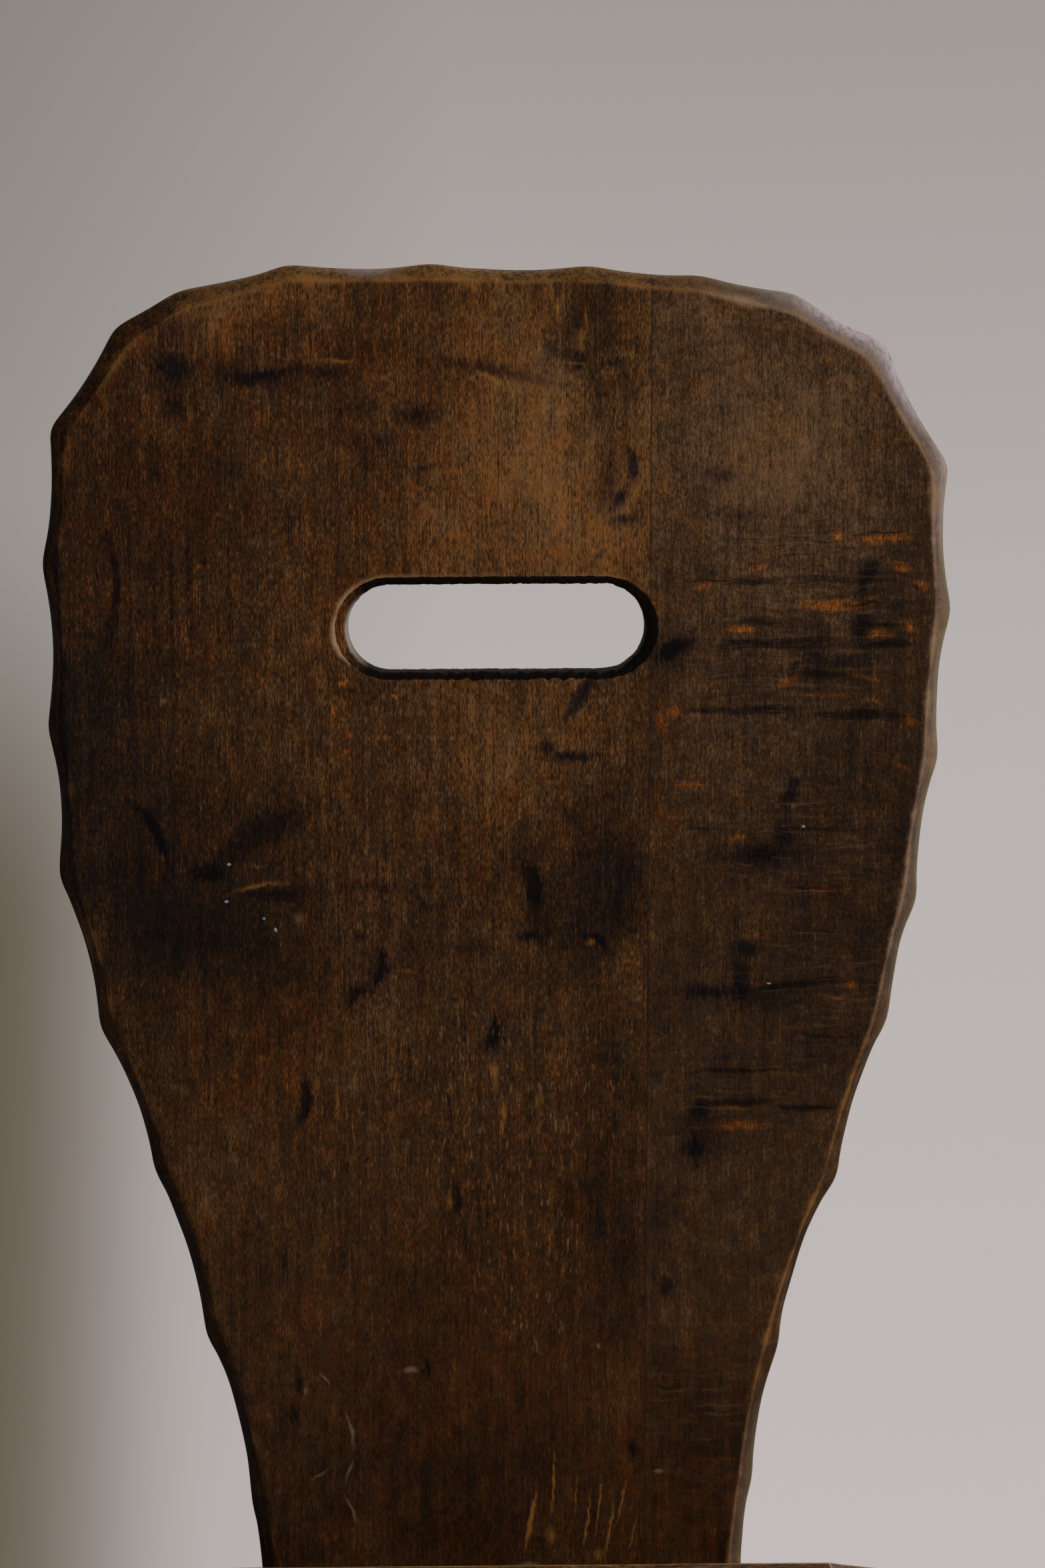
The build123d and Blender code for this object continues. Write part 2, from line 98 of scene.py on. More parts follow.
class Wiring:
    """Adds nodes to one shader tree and joins them."""

    def __init__(self, tree: NodeTree) -> None:
        """Start on a tree, which may hold nodes already."""
        self.tree = tree

    def add(self, kind: str, feeds: dict | None = None, **settings: object) -> Node:
        """Add one node.

        Args:
            kind: Blender's name for the node.
            feeds: what each input gets, a value or another node's output, by name or number.
            settings: the node's own choices.

        Returns:
            The new node.
        """
        node = self.tree.nodes.new(kind)
        for name, value in settings.items():
            setattr(node, name, value)
        for key, value in (feeds or {}).items():
            if isinstance(value, NodeSocket):
                self.tree.links.new(value, node.inputs[key])
            else:
                node.inputs[key].default_value = value
        return node

    def effect(self, group: NodeTree, **feeds: object) -> Node:
        """Put in a finished group of effects and feed its inputs by name."""
        return self.add("ShaderNodeGroup", feeds, node_tree=group)

    def attribute(self, name: str) -> NodeSocket:
        """One of the measures that a mesh's points carry."""
        return self.add("ShaderNodeAttribute", attribute_name=name).outputs["Fac"]

    def maths(self, operation: str, *values: object, clamp: bool = False) -> NodeSocket:
        """Result of a sum on numbers."""
        feeds = dict(enumerate(values))
        return self.add("ShaderNodeMath", feeds, operation=operation, use_clamp=clamp).outputs[0]

    def times(self, one: object, other: object, clamp: bool = False) -> NodeSocket:
        """Product of two numbers."""
        return self.maths("MULTIPLY", one, other, clamp=clamp)

    def times_plus(self, one: object, other: object, base: object) -> NodeSocket:
        """Product of two numbers, on top of a third."""
        return self.maths("MULTIPLY_ADD", one, other, base)

    def vector(self, operation: str, *values: object) -> NodeSocket:
        """Result of a sum on vectors."""
        feeds = dict(enumerate(values))
        return self.add("ShaderNodeVectorMath", feeds, operation=operation).outputs[0]

    def dot(self, one: NodeSocket, other: Vector) -> NodeSocket:
        """Dot product of a vector and a fixed one."""
        node = self.add("ShaderNodeVectorMath", {0: one, 1: other}, operation="DOT_PRODUCT")
        return node.outputs["Value"]

    def clouds(self, place: NodeSocket, size: Triple, detail: float, roughness: float = 0.5,
               distortion: float = 0.0, colour: bool = False) -> NodeSocket:
        """Soft noise.

        Args:
            place: the point, in millimetres.
            size: how large its clouds are, in millimetres each way.
            detail: how many finer layers it has.
            roughness: how strong the finer layers are.
            distortion: how far it is stirred.
            colour: whether to give three separate noises as a colour.

        Returns:
            Noise from 0 to 1.
        """
        scaled = self.vector("MULTIPLY", place, tuple(1 / length for length in size))
        feeds = {"Vector": scaled, "Scale": 1.0, "Detail": detail, "Roughness": roughness,
                 "Distortion": distortion}
        return self.add("ShaderNodeTexNoise", feeds).outputs[1 if colour else 0]

    def step(self, value: object, low: float, high: float, to_low: float = 0.0,
             to_high: float = 1.0, straight: bool = False) -> NodeSocket:
        """A rise or fall between two levels.

        Args:
            value: what it goes by.
            low: value at which it starts.
            high: value at which it ends, which may be less.
            to_low: level at its start.
            to_high: level at its end.
            straight: whether it is a ramp, and not smooth.

        Returns:
            The level.
        """
        feeds = {"Value": value, "From Min": low, "From Max": high, "To Min": to_low, "To Max": to_high}
        way = "LINEAR" if straight else "SMOOTHSTEP"
        return self.add("ShaderNodeMapRange", feeds, interpolation_type=way, clamp=True).outputs[0]

    def blend(self, share: object, under: object, over: object, kind: str = "MIX") -> NodeSocket:
        """Mix two colours.

        Args:
            share: how much of the second there is.
            under: the first colour.
            over: the second colour.
            kind: Blender's name for the way they mix.

        Returns:
            The mixed colour.
        """
        # The node's inputs 6 and 7 and its output 2 are its colours; its names for them repeat.
        feeds = {0: share, 6: under, 7: over}
        node = self.add("ShaderNodeMix", feeds, data_type="RGBA", blend_type=kind, clamp_factor=True)
        return node.outputs[2]


class EffectGroup:
    """A node group under construction, with its wiring and named sockets."""

    def __init__(self, name: str, takes: dict[str, Socket], gives: dict[str, Socket]) -> None:
        """Make an empty group.

        Args:
            name: the effect's name.
            takes: its inputs.
            gives: its outputs.
        """
        self.tree = bpy.data.node_groups.new(name, "ShaderNodeTree")
        for side, sockets in (("INPUT", takes), ("OUTPUT", gives)):
            for label, kind in sockets.items():
                self.tree.interface.new_socket(label, in_out=side, socket_type=kind.value)
        self.wiring = Wiring(self.tree)
        self.takes = self.tree.nodes.new("NodeGroupInput").outputs
        self._out = self.tree.nodes.new("NodeGroupOutput")

    def give(self, **results: NodeSocket) -> NodeTree:
        """Finish the group.

        Args:
            results: what goes to each of its outputs.

        Returns:
            The finished group.
        """
        for label, result in results.items():
            self.tree.links.new(result, self._out.inputs[label])
        return self.tree


def bare_wiring(owner: Material | World) -> Wiring:
    """Empty the shader tree of a material or world.

    Args:
        owner: the material or world.

    Returns:
        Wiring on its tree.
    """
    owner.use_nodes = True
    owner.node_tree.nodes.clear()
    return Wiring(owner.node_tree)


# ---- effects that several finishes share ------------------------------------------------
def stained_grain() -> NodeTree:
    """Fine-grained hardwood under a blotchy stain, with its grain along the place's Y.

    Returns:
        A group that gives the colour, the height and the fibres' noise.
    """
    group = EffectGroup(
        "stained grain",
        {"Place": Socket.VECTOR, "Deep": Socket.COLOUR, "Dark": Socket.COLOUR, "Mid": Socket.COLOUR,
         "Light": Socket.COLOUR, "Tone": Socket.VALUE, "Blotch": Socket.VALUE, "Fibre": Socket.VALUE,
         "Cool": Socket.VALUE},
        {"Colour": Socket.COLOUR, "Height": Socket.VALUE, "Fibre": Socket.VALUE},
    )
    w, takes = group.wiring, group.takes
    place = takes["Place"]
    pools = w.clouds(place, (30, 60, 30), 3, 0.6, 0.5)
    mottle = w.clouds(place, (5, 9, 5), 2, 0.6, 0.4)
    bands = w.clouds(place, (2.6, 90, 2.6), 2, 0.65)
    strands = w.clouds(place, (0.55, 20, 0.55), 2, 0.6)
    fibres = w.clouds(place, (0.34, 2.0, 0.34), 2, 0.7)
    tufts = w.clouds(place, (0.9, 3.4, 0.9), 1, 0.6, 0.6)
    pores = w.step(w.clouds(place, (0.36, 2.2, 0.36), 1, 0.5), 0.58, 0.68)
    soft = w.times_plus(mottle, 0.45, w.times(pools, 0.4))
    soft = w.maths("ADD", soft, w.times_plus(bands, 0.36, -0.605))
    tone = w.times_plus(soft, takes["Blotch"], takes["Tone"])
    fine = w.times_plus(tufts, 0.5, w.times_plus(fibres, 1.2, -0.84))
    fine = w.times_plus(w.step(strands, 0.56, 0.70), 0.16, fine)
    fine = w.times_plus(w.step(strands, 0.45, 0.32), -0.16, fine)
    fine = w.times_plus(pores, -0.14, fine)
    tone = w.times_plus(fine, takes["Fibre"], tone)
    colour = w.blend(w.step(tone, 0.0, 0.25, straight=True), takes["Deep"], takes["Dark"])
    colour = w.blend(w.step(tone, 0.25, 0.52, straight=True), colour, takes["Mid"])
    colour = w.blend(w.step(tone, 0.52, 1.0, straight=True), colour, takes["Light"])
    tints = w.clouds(place, (8, 14, 8), 2, 0.6, 0.5)
    threads = w.clouds(place, (0.7, 2.2, 0.7), 1, 0.5)
    hue = w.times_plus(threads, 1.3, w.times(tints, 1.3))
    hue = w.maths("ADD", w.maths("SUBTRACT", hue, 0.82), takes["Cool"])
    tint = w.blend(w.step(hue, 0.0, 0.5, straight=True), (1.26, 0.88, 0.55, 1.0), WHITE)
    tint = w.blend(w.step(hue, 0.5, 1.0, straight=True), tint, (0.86, 1.04, 1.65, 1.0))
    colour = w.blend(1.0, colour, tint, "MULTIPLY")
    height = w.maths("SUBTRACT", w.times(fibres, 0.5), w.times(pores, 0.6))
    return group.give(Colour=colour, Height=height, Fibre=fibres)


def worn_arris() -> NodeTree:
    """Broken line of rubbed wood along the arrises, from how close a point is to one.

    Returns:
        A group that gives how rubbed a point is.
    """
    group = EffectGroup(
        "worn arris",
        {"Place": Socket.VECTOR, "Arris": Socket.VALUE, "Amount": Socket.VALUE},
        {"Worn": Socket.VALUE},
    )
    w, takes = group.wiring, group.takes
    place = takes["Place"]
    long_gaps = w.clouds(place, (18, 18, 18), 2, 0.6)
    speckle = w.clouds(place, (0.9, 2.4, 0.9), 3, 0.7)
    rub = w.times_plus(long_gaps, 2.0, w.times(speckle, 0.9))
    near = w.times(takes["Arris"], takes["Amount"])
    return group.give(Worn=w.step(w.maths("ADD", near, rub), 1.75, 2.95))


def ray_flecks() -> NodeTree:
    """Scattered short lens-shaped flecks, where the wood's rays come to the surface.

    Returns:
        A group that gives how strong they are.
    """
    group = EffectGroup(
        "ray flecks",
        {"Place": Socket.VECTOR, "Amount": Socket.VALUE},
        {"Flecks": Socket.VALUE},
    )
    w, takes = group.wiring, group.takes
    stirred = w.vector("ADD", takes["Place"], w.clouds(takes["Place"], (7, 7, 7), 1, colour=True))
    scaled = w.vector("MULTIPLY", stirred, (1 / 2.3, 1 / 4.6, 1 / 2.3))
    cells = w.add("ShaderNodeTexVoronoi", {"Vector": scaled, "Scale": 1.0, "Randomness": 1.0}, feature="F1")
    lens = w.step(cells.outputs["Distance"], 0.34, 0.16)
    pick = w.add("ShaderNodeSeparateColor", {0: cells.outputs["Color"]}).outputs[0]
    patch = w.clouds(takes["Place"], (26, 40, 26), 2, 0.6)
    chance = w.maths("ADD", w.times(patch, 1.3), pick)
    rare = w.step(w.maths("ADD", chance, takes["Amount"]), 1.62, 1.85)
    return group.give(Flecks=w.times(lens, rare))


@dataclass(frozen=True)
class Mark:
    """One soft mark on a board's face, in the board's own millimetres.

    It is an ellipse, or a crescent where it has a bend: how far its middle stands off its ends.
    """

    across: float
    up: float
    half_width: float
    half_height: float
    turn: float
    strength: float
    bend: float = 0.0

    def reach(self) -> float:
        """How far the mark can show across the board from its centre."""
        turn = radians(self.turn)
        return sqrt((self.half_width * cos(turn)) ** 2 + (self.half_height * sin(turn)) ** 2) + 3.0

    def rows(self) -> tuple[Vector, Vector]:
        """Two rows that a place (x, y, 1) is multiplied by.

        Returns:
            The rows for its share of the mark's half width and of its half height.
        """
        c, s = cos(radians(self.turn)), sin(radians(self.turn))
        across = Vector((c, s, -c * self.across - s * self.up)) / self.half_width
        along = Vector((-s, c, s * self.across - c * self.up)) / self.half_height
        return across, along


def mark_layer(name: str, marks: Iterable[Mark]) -> NodeTree:
    """Group that gives how strongly a point lies under any of the marks.

    Args:
        name: the layer's name.
        marks: where its marks are.

    Returns:
        A group with the input Place and the output Cover.
    """
    group = EffectGroup(name, {"Place": Socket.VECTOR}, {"Cover": Socket.VALUE})
    w = group.wiring
    flat = w.vector("MULTIPLY_ADD", group.takes["Place"], (1, 1, 0), (0, 0, 1))
    cover = None
    for mark in marks:
        across, along = (w.dot(flat, row) for row in mark.rows())
        if mark.bend:
            run = w.times(along, along)
            across = w.times_plus(run, mark.bend / mark.half_width, across)
        off = w.add("ShaderNodeCombineXYZ", {0: across, 1: along}).outputs[0]
        off = w.add("ShaderNodeVectorMath", {0: off}, operation="LENGTH").outputs["Value"]
        one = w.times_plus(off, -mark.strength, mark.strength)
        cover = w.maths("MAXIMUM", 0.0 if cover is None else cover, one)
    return group.give(Cover=cover)


# ---- finishes ---------------------------------------------------------------------------
SEED_SHIFT = (371, 173, 97)
SHEEN_SPREAD = 0.16
RUBBED_THROUGH = 0.75
RELIEF_STRENGTH = 0.35
RELIEF_DEPTH = 0.25 * MM
FLECK_COLOUR = hand_tint(132, 84, 38)


@dataclass(frozen=True)
class StainedWood:
    """A hardwood under stain and worn satin varnish.

    Its grain goes from deep over dark and mid to light, and bare is the wood where it is rubbed.
    """

    name: str
    deep: Colour
    dark: Colour
    mid: Colour
    light: Colour
    bare: Colour
    tone: float = 0.5
    blotch: float = 0.9
    fibre: float = 1.0
    cool: float = 0.0
    roughness: float = 0.5
    gloss: float = 0.18
    wear: float = 1.0
    flecks: float = 0.0
    squat: float = 1.0

    def slot(self) -> str:
        """Name of the finish, with underscores for its spaces."""
        return self.name.replace(" ", "_")

    def material(self, grain: Matrix, groups: "Effects", seed: float,
                 dress: Callable[["Coat"], None] | None = None) -> Material:
        """Make the finish for one piece.

        Args:
            grain: the piece's grain frame, with Y along the grain and Z out of the face.
            groups: the shared effects.
            seed: shifts the pattern, so that like pieces differ.
            dress: adds marks of the piece's own before the shader is joined.

        Returns:
            The material.
        """
        material = bpy.data.materials.new(self.name)
        w = bare_wiring(material)
        spot = w.add("ShaderNodeTexCoord").outputs["Object"]
        feeds = {"Vector": spot, "Location": grain.to_translation(), "Rotation": grain.to_euler(),
                 "Scale": (MM, MM, MM)}
        place = w.add("ShaderNodeMapping", feeds, vector_type="TEXTURE").outputs[0]
        shift = tuple(seed * way for way in SEED_SHIFT)
        pattern = w.vector("MULTIPLY_ADD", place, (1, self.squat, 1), shift)
        coat = Coat(self, w, groups, place, pattern)
        if dress:
            dress(coat)
        coat.rub_arrises()
        coat.seal()
        return material


class Coat:
    """A stained finish being laid on: its colour, relief and sheen so far."""

    def __init__(self, finish: StainedWood, wiring: Wiring, groups: "Effects", place: NodeSocket,
                 pattern: NodeSocket) -> None:
        """Start with the bare finish.

        Args:
            finish: the wood and its stain.
            wiring: of the material's tree.
            groups: the shared effects.
            place: the point in the piece's grain frame, in millimetres.
            pattern: the point that the grain reads, shifted from piece to piece.
        """
        self.finish = finish
        self.w = wiring
        self.groups = groups
        self.place = place
        self.pattern = pattern
        self.arris: object = wiring.attribute(ARRIS)
        self.tone: object = finish.tone
        self.cool: object = finish.cool
        self.fibre: object = finish.fibre
        self.roughness: object = finish.roughness
        self.colour: object = finish.mid
        self.relief: object = 0.0
        self.bare: object = finish.bare
        self.grained = False

    def lay_grain(self) -> None:
        """Lay the grain over the tone so far."""
        finish = self.finish
        node = self.w.effect(self.groups.grain, Place=self.pattern, Deep=finish.deep, Dark=finish.dark,
                             Mid=finish.mid, Light=finish.light, Tone=self.tone,
                             Blotch=finish.blotch, Fibre=self.fibre, Cool=self.cool)
        self.colour = node.outputs["Colour"]
        self.relief = node.outputs["Height"]
        fibre = node.outputs["Fibre"]
        dullest = finish.roughness - SHEEN_SPREAD / 2
        self.roughness = self.w.times_plus(fibre, SHEEN_SPREAD, dullest)
        if finish.flecks > 0:
            flecks = self.w.effect(self.groups.flecks, Place=self.pattern, Amount=finish.flecks - 1)
            share = self.w.times(flecks.outputs[0], 0.6)
            self.colour = self.w.blend(share, self.colour, FLECK_COLOUR)
        self.grained = True

    def shade_tone(self, cover: NodeSocket, amount: float) -> None:
        """Raise or lower the tone under a cover, before the grain is laid: for stain, and for painted light
        and shade.
        """
        self.tone = self.w.times_plus(cover, amount, self.tone)

    def stain(self, cover: NodeSocket, colour: Colour, amount: float, kind: str = "MIX") -> None:
        """Tint what lies under a cover: with stains, and also with painted light and shade."""
        share = self.w.times(cover, amount, clamp=True)
        self.colour = self.w.blend(share, self.colour, colour, kind)

    def press(self, cover: NodeSocket, depth: float) -> None:
        """Sink what lies under a cover by a depth in the relief's own unit."""
        self.relief = self.w.times_plus(cover, -depth, self.relief)

    def rub_arrises(self) -> None:
        """Rub the stain through along the arrises."""
        if not self.grained:
            self.lay_grain()
        w = self.w
        node = w.effect(self.groups.arris, Place=self.pattern, Arris=self.arris, Amount=self.finish.wear)
        bare = w.blend(RUBBED_THROUGH, self.colour, self.bare)
        self.colour = w.blend(node.outputs["Worn"], self.colour, bare)

    def seal(self) -> None:
        """Join colour, sheen and relief to the varnished surface."""
        feeds = {"Strength": RELIEF_STRENGTH, "Distance": RELIEF_DEPTH, "Height": self.relief}
        bump = self.w.add("ShaderNodeBump", feeds)
        feeds = {"Base Color": self.colour, "Roughness": self.roughness, "Normal": bump.outputs[0],
                 "Specular IOR Level": self.finish.gloss}
        shader = self.w.add("ShaderNodeBsdfPrincipled", feeds)
        output = self.w.add("ShaderNodeOutputMaterial")
        self.w.tree.links.new(shader.outputs[0], output.inputs[0])


@dataclass
class Effects:
    """The shared effects, each built once."""

    grain: NodeTree = field(default_factory=stained_grain)
    arris: NodeTree = field(default_factory=worn_arris)
    flecks: NodeTree = field(default_factory=ray_flecks)


DEEP = hand_tint(9, 8, 9)
BACK_WOOD = StainedWood(
    "back wood", DEEP, dark=hand_tint(27, 16, 7), mid=hand_tint(54, 33, 14), light=hand_tint(116, 78, 40),
    bare=hand_tint(112, 74, 36), tone=0.46, gloss=0.03, flecks=0.78,
)
# The narrow stave's cooler, greyer cast is partly stain and partly painted sheen of the window.
CURLY_BACK_WOOD = replace(BACK_WOOD, squat=1.6, cool=0.24, fibre=0.72, blotch=0.85, flecks=0.5)
SEAT_WOOD = StainedWood(
    "seat wood", DEEP, dark=hand_tint(28, 17, 9), mid=hand_tint(58, 35, 17), light=hand_tint(124, 84, 43),
    bare=hand_tint(132, 98, 50), roughness=0.44, gloss=0.2, wear=1.1, flecks=0.5,
)
BATTEN_WOOD = StainedWood(
    "batten wood", DEEP, dark=hand_tint(24, 15, 9), mid=hand_tint(48, 29, 16), light=hand_tint(100, 65, 33),
    bare=hand_tint(110, 74, 38), tone=0.44, roughness=0.6, gloss=0.12, wear=0.8, flecks=0.4,
)
LEG_WOOD = StainedWood(
    "leg wood", DEEP, dark=hand_tint(26, 16, 9), mid=hand_tint(54, 32, 16), light=hand_tint(112, 74, 37),
    bare=hand_tint(128, 88, 46), wear=1.1, flecks=0.45,
)
WEDGE_WOOD = StainedWood(
    "wedge wood", DEEP, dark=hand_tint(44, 28, 16), mid=hand_tint(88, 58, 32), light=hand_tint(138, 98, 56),
    bare=hand_tint(150, 110, 62), flecks=0.2,
)


# ---- mesh helpers -----------------------------------------------------------------------
SAME_POINT = 0.002 * MM
SAME_PLANE = radians(0.6)
ON_CUT = 1e-7


def placed(name: str, data: ID) -> Object:
    """Put a new object into the scene.

    Args:
        name: the object's name.
        data: its mesh, camera or lamp.

    Returns:
        The object.
    """
    thing = bpy.data.objects.new(name, data)
    bpy.context.scene.collection.objects.link(thing)
    return thing


def finished_mesh(name: str, bm: BMesh) -> Mesh:
    """Turn a mesh under work into a finished one.

    Args:
        name: the finished mesh's name.
        bm: the mesh under work, which is freed.

    Returns:
        The finished mesh.
    """
    mesh = bpy.data.meshes.new(name)
    bm.to_mesh(mesh)
    bm.free()
    return mesh


def finished_piece(name: str, bm: BMesh, material: Material, slot: str, *nodes: str) -> Object:
    """Turn a mesh under work into a piece that rides on the chair and stands for its nodes.

    Args:
        name: the piece's name.
        bm: the mesh, in metres and in place. It is freed.
        material: its finish.
        slot: not used.
        nodes: the solids it replaces.

    Returns:
        The new object.
    """
    mesh = finished_mesh(name, bm)
    mesh.materials.append(material)
    piece = placed(name, mesh)
    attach(piece, BODY)
    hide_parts(*nodes)
    log.info("%s: %d faces, stands for %s", name, len(mesh.polygons), ", ".join(nodes))
    return piece


def solid_copy(node: str) -> BMesh:
    """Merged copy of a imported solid's mesh.

    Args:
        node: the solid's name.

    Returns:
        The copy, with each flat side as one face.
    """
    bm = bmesh.new()
    bm.from_mesh(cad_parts[node].data)
    bmesh.ops.remove_doubles(bm, verts=bm.verts, dist=SAME_POINT)
    bmesh.ops.dissolve_limit(bm, angle_limit=SAME_PLANE, verts=bm.verts, edges=bm.edges)
    return bm


def sharp(edge: BMEdge, least: float = 24.0) -> bool:
    """Whether two faces meet at an edge at more than an angle in degrees."""
    return len(edge.link_faces) == 2 and edge.calc_face_angle(0.0) > radians(least)


def shade_by_angle(bm: BMesh, least: float = 32.0) -> None:
    """Smooth shading, with creases.

    Args:
        bm: the mesh, changed in place.
        least: angle in degrees between two faces, past which their edge is a crease.
    """
    for face in bm.faces:
        face.smooth = True
    for edge in bm.edges:
        edge.smooth = not sharp(edge, least)


def flatten_planes(bm: BMesh, least: float) -> None:
    """Shade the large flat sides flat, so that the roundings beside them don't bend their light.

    Args:
        bm: the mesh, changed in place.
        least: area of the smallest side that counts as large, in square millimetres.
    """
    for face in bm.faces:
        if face.calc_area() > least * MM**2:
            face.smooth = False


def ease_arrises(bm: BMesh, width: float, chosen: Callable[[BMEdge], bool]) -> None:
    """Round the chosen sharp edges and note them as arrises.

    Args:
        bm: the mesh, changed in place.
        width: of the rounding, in millimetres.
        chosen: says which edges are rounded.
    """
    layer = bm.verts.layers.float.get(ARRIS) or bm.verts.layers.float.new(ARRIS)
    edges = [edge for edge in bm.edges if sharp(edge) and chosen(edge)]
    made = bmesh.ops.bevel(bm, geom=edges, offset=width * MM, offset_type="OFFSET", affect="EDGES",
                           segments=4, profile=0.5, clamp_overlap=True, material=-1)
    rounded = set(made["faces"])
    for vert in made["verts"]:
        vert[layer] = 1.0 if all(face in rounded for face in vert.link_faces) else 0.0


def extrude_ring(bm: BMesh, edges: list[BMEdge], verts: list[BMVert],
                 places: list[Vector]) -> tuple[list[BMEdge], list[BMVert]]:
    """Extrude a closed ring and move the new ring's points to their places.

    Args:
        bm: the mesh.
        edges: the ring's edges.
        verts: its points in order.
        places: where each new point goes.

    Returns:
        The new ring's edges and its points in the same order.
    """
    made = bmesh.ops.extrude_edge_only(bm, edges=edges)["geom"]
    fresh = {item for item in made if isinstance(item, BMVert)}
    new_edges = [item for item in made if isinstance(item, BMEdge) and fresh.issuperset(item.verts)]
    follow = []
    for vert, place in zip(verts, places):
        partner = next(e.other_vert(vert) for e in vert.link_edges if e.other_vert(vert) in fresh)
        partner.co = place
        follow.append(partner)
    return new_edges, follow


def first_ring(bm: BMesh, places: list[Vector]) -> tuple[list[BMEdge], list[BMVert]]:
    """A closed ring made from a circle.

    Args:
        bm: the mesh.
        places: where its points go.

    Returns:
        The ring's edges and its points in order.
    """
    verts = bmesh.ops.create_circle(bm, cap_ends=False, segments=len(places), radius=1.0)["verts"]
    for vert, place in zip(verts, places):
        vert.co = place
    edges = dict.fromkeys(edge for vert in verts for edge in vert.link_edges)
    return list(edges), verts


@dataclass
class Ring:
    """One closed ring of a skin, with how rubbed, cut and hollow its points are, and how dark for grime and
    painted shade.
    """

    places: list[Vector]
    arris: list[float] | float = 0.0
    edge: float = 0.0
    hollow: list[float] | float = 0.0
    grime_and_shade: float = 0.0

    def mark(self, bm: BMesh, verts: list[BMVert]) -> None:
        """Write the ring's values on its points.

        Args:
            bm: the mesh.
            verts: the ring's points in order.
        """
        for name in MEASURES:
            layer = bm.verts.layers.float[name]
            value = getattr(self, name)
            for index, vert in enumerate(verts):
                vert[layer] = value[index] if isinstance(value, list) else value


def skin(bm: BMesh, rings: list[Ring]) -> Rims:
    """Skin through a row of rings.

    Args:
        bm: the mesh.
        rings: the rings in order.

    Returns:
        The edges of the first ring and of the last.
    """
    for name in MEASURES:
        if not bm.verts.layers.float.get(name):
            bm.verts.layers.float.new(name)
    edges, verts = first_ring(bm, rings[0].places)
    start = edges
    rings[0].mark(bm, verts)
    for ring in rings[1:]:
        edges, verts = extrude_ring(bm, edges, verts, ring.places)
        ring.mark(bm, verts)
    return start, edges


def rubbed_round(points: list[Vector], passes: int, foot: float) -> list[Vector]:
    """Smooth a closed outline along its length, as wear does, but not under the seat's top.

    Args:
        points: the outline.
        passes: how often each point moves halfway to its neighbours' middle.
        foot: height below which the points stay.

    Returns:
        The smoothed outline.
    """
    for _ in range(passes):
        after = points[1:] + points[:1]
        points = [here if here.y < foot else here * 0.5 + (points[index - 1] + after[index]) * 0.25
                  for index, here in enumerate(points)]
    return points


def rounded_corner(before: Vector, here: Vector, after: Vector, radius: float, share: float) -> Vector:
    """One point of the rounding of a corner, a little uneven in its size.

    Args:
        before: a point on the way to the corner.
        here: the corner.
        after: a point on the way from it.
        radius: how far from the corner the rounding starts, where there is room.
        share: how far round the point is, from 0 to 1.

    Returns:
        The point.
    """
    reach = radius * (1.0 + 0.6 * noise.noise(here * 0.05))
    start, end = (here + (way - here).normalized() * min(reach, (way - here).length * 0.45)
                  for way in (before, after))
    return start * (1 - share) ** 2 + here * 2 * share * (1 - share) + end * share**2


def uneven(x: float, y: float, z: float) -> float:
    """Smooth noise at a point, from about -1 to 1."""
    return noise.noise(Vector((x, y, z)))


def dip(share: float) -> float:
    """Depth of a hollow at a share along it: 0 at its ridges and 1 in its middle."""
    return 4 * share * (1 - share)


# ---- back board -------------------------------------------------------------------------
TENON_GAP = 0.01 * MM


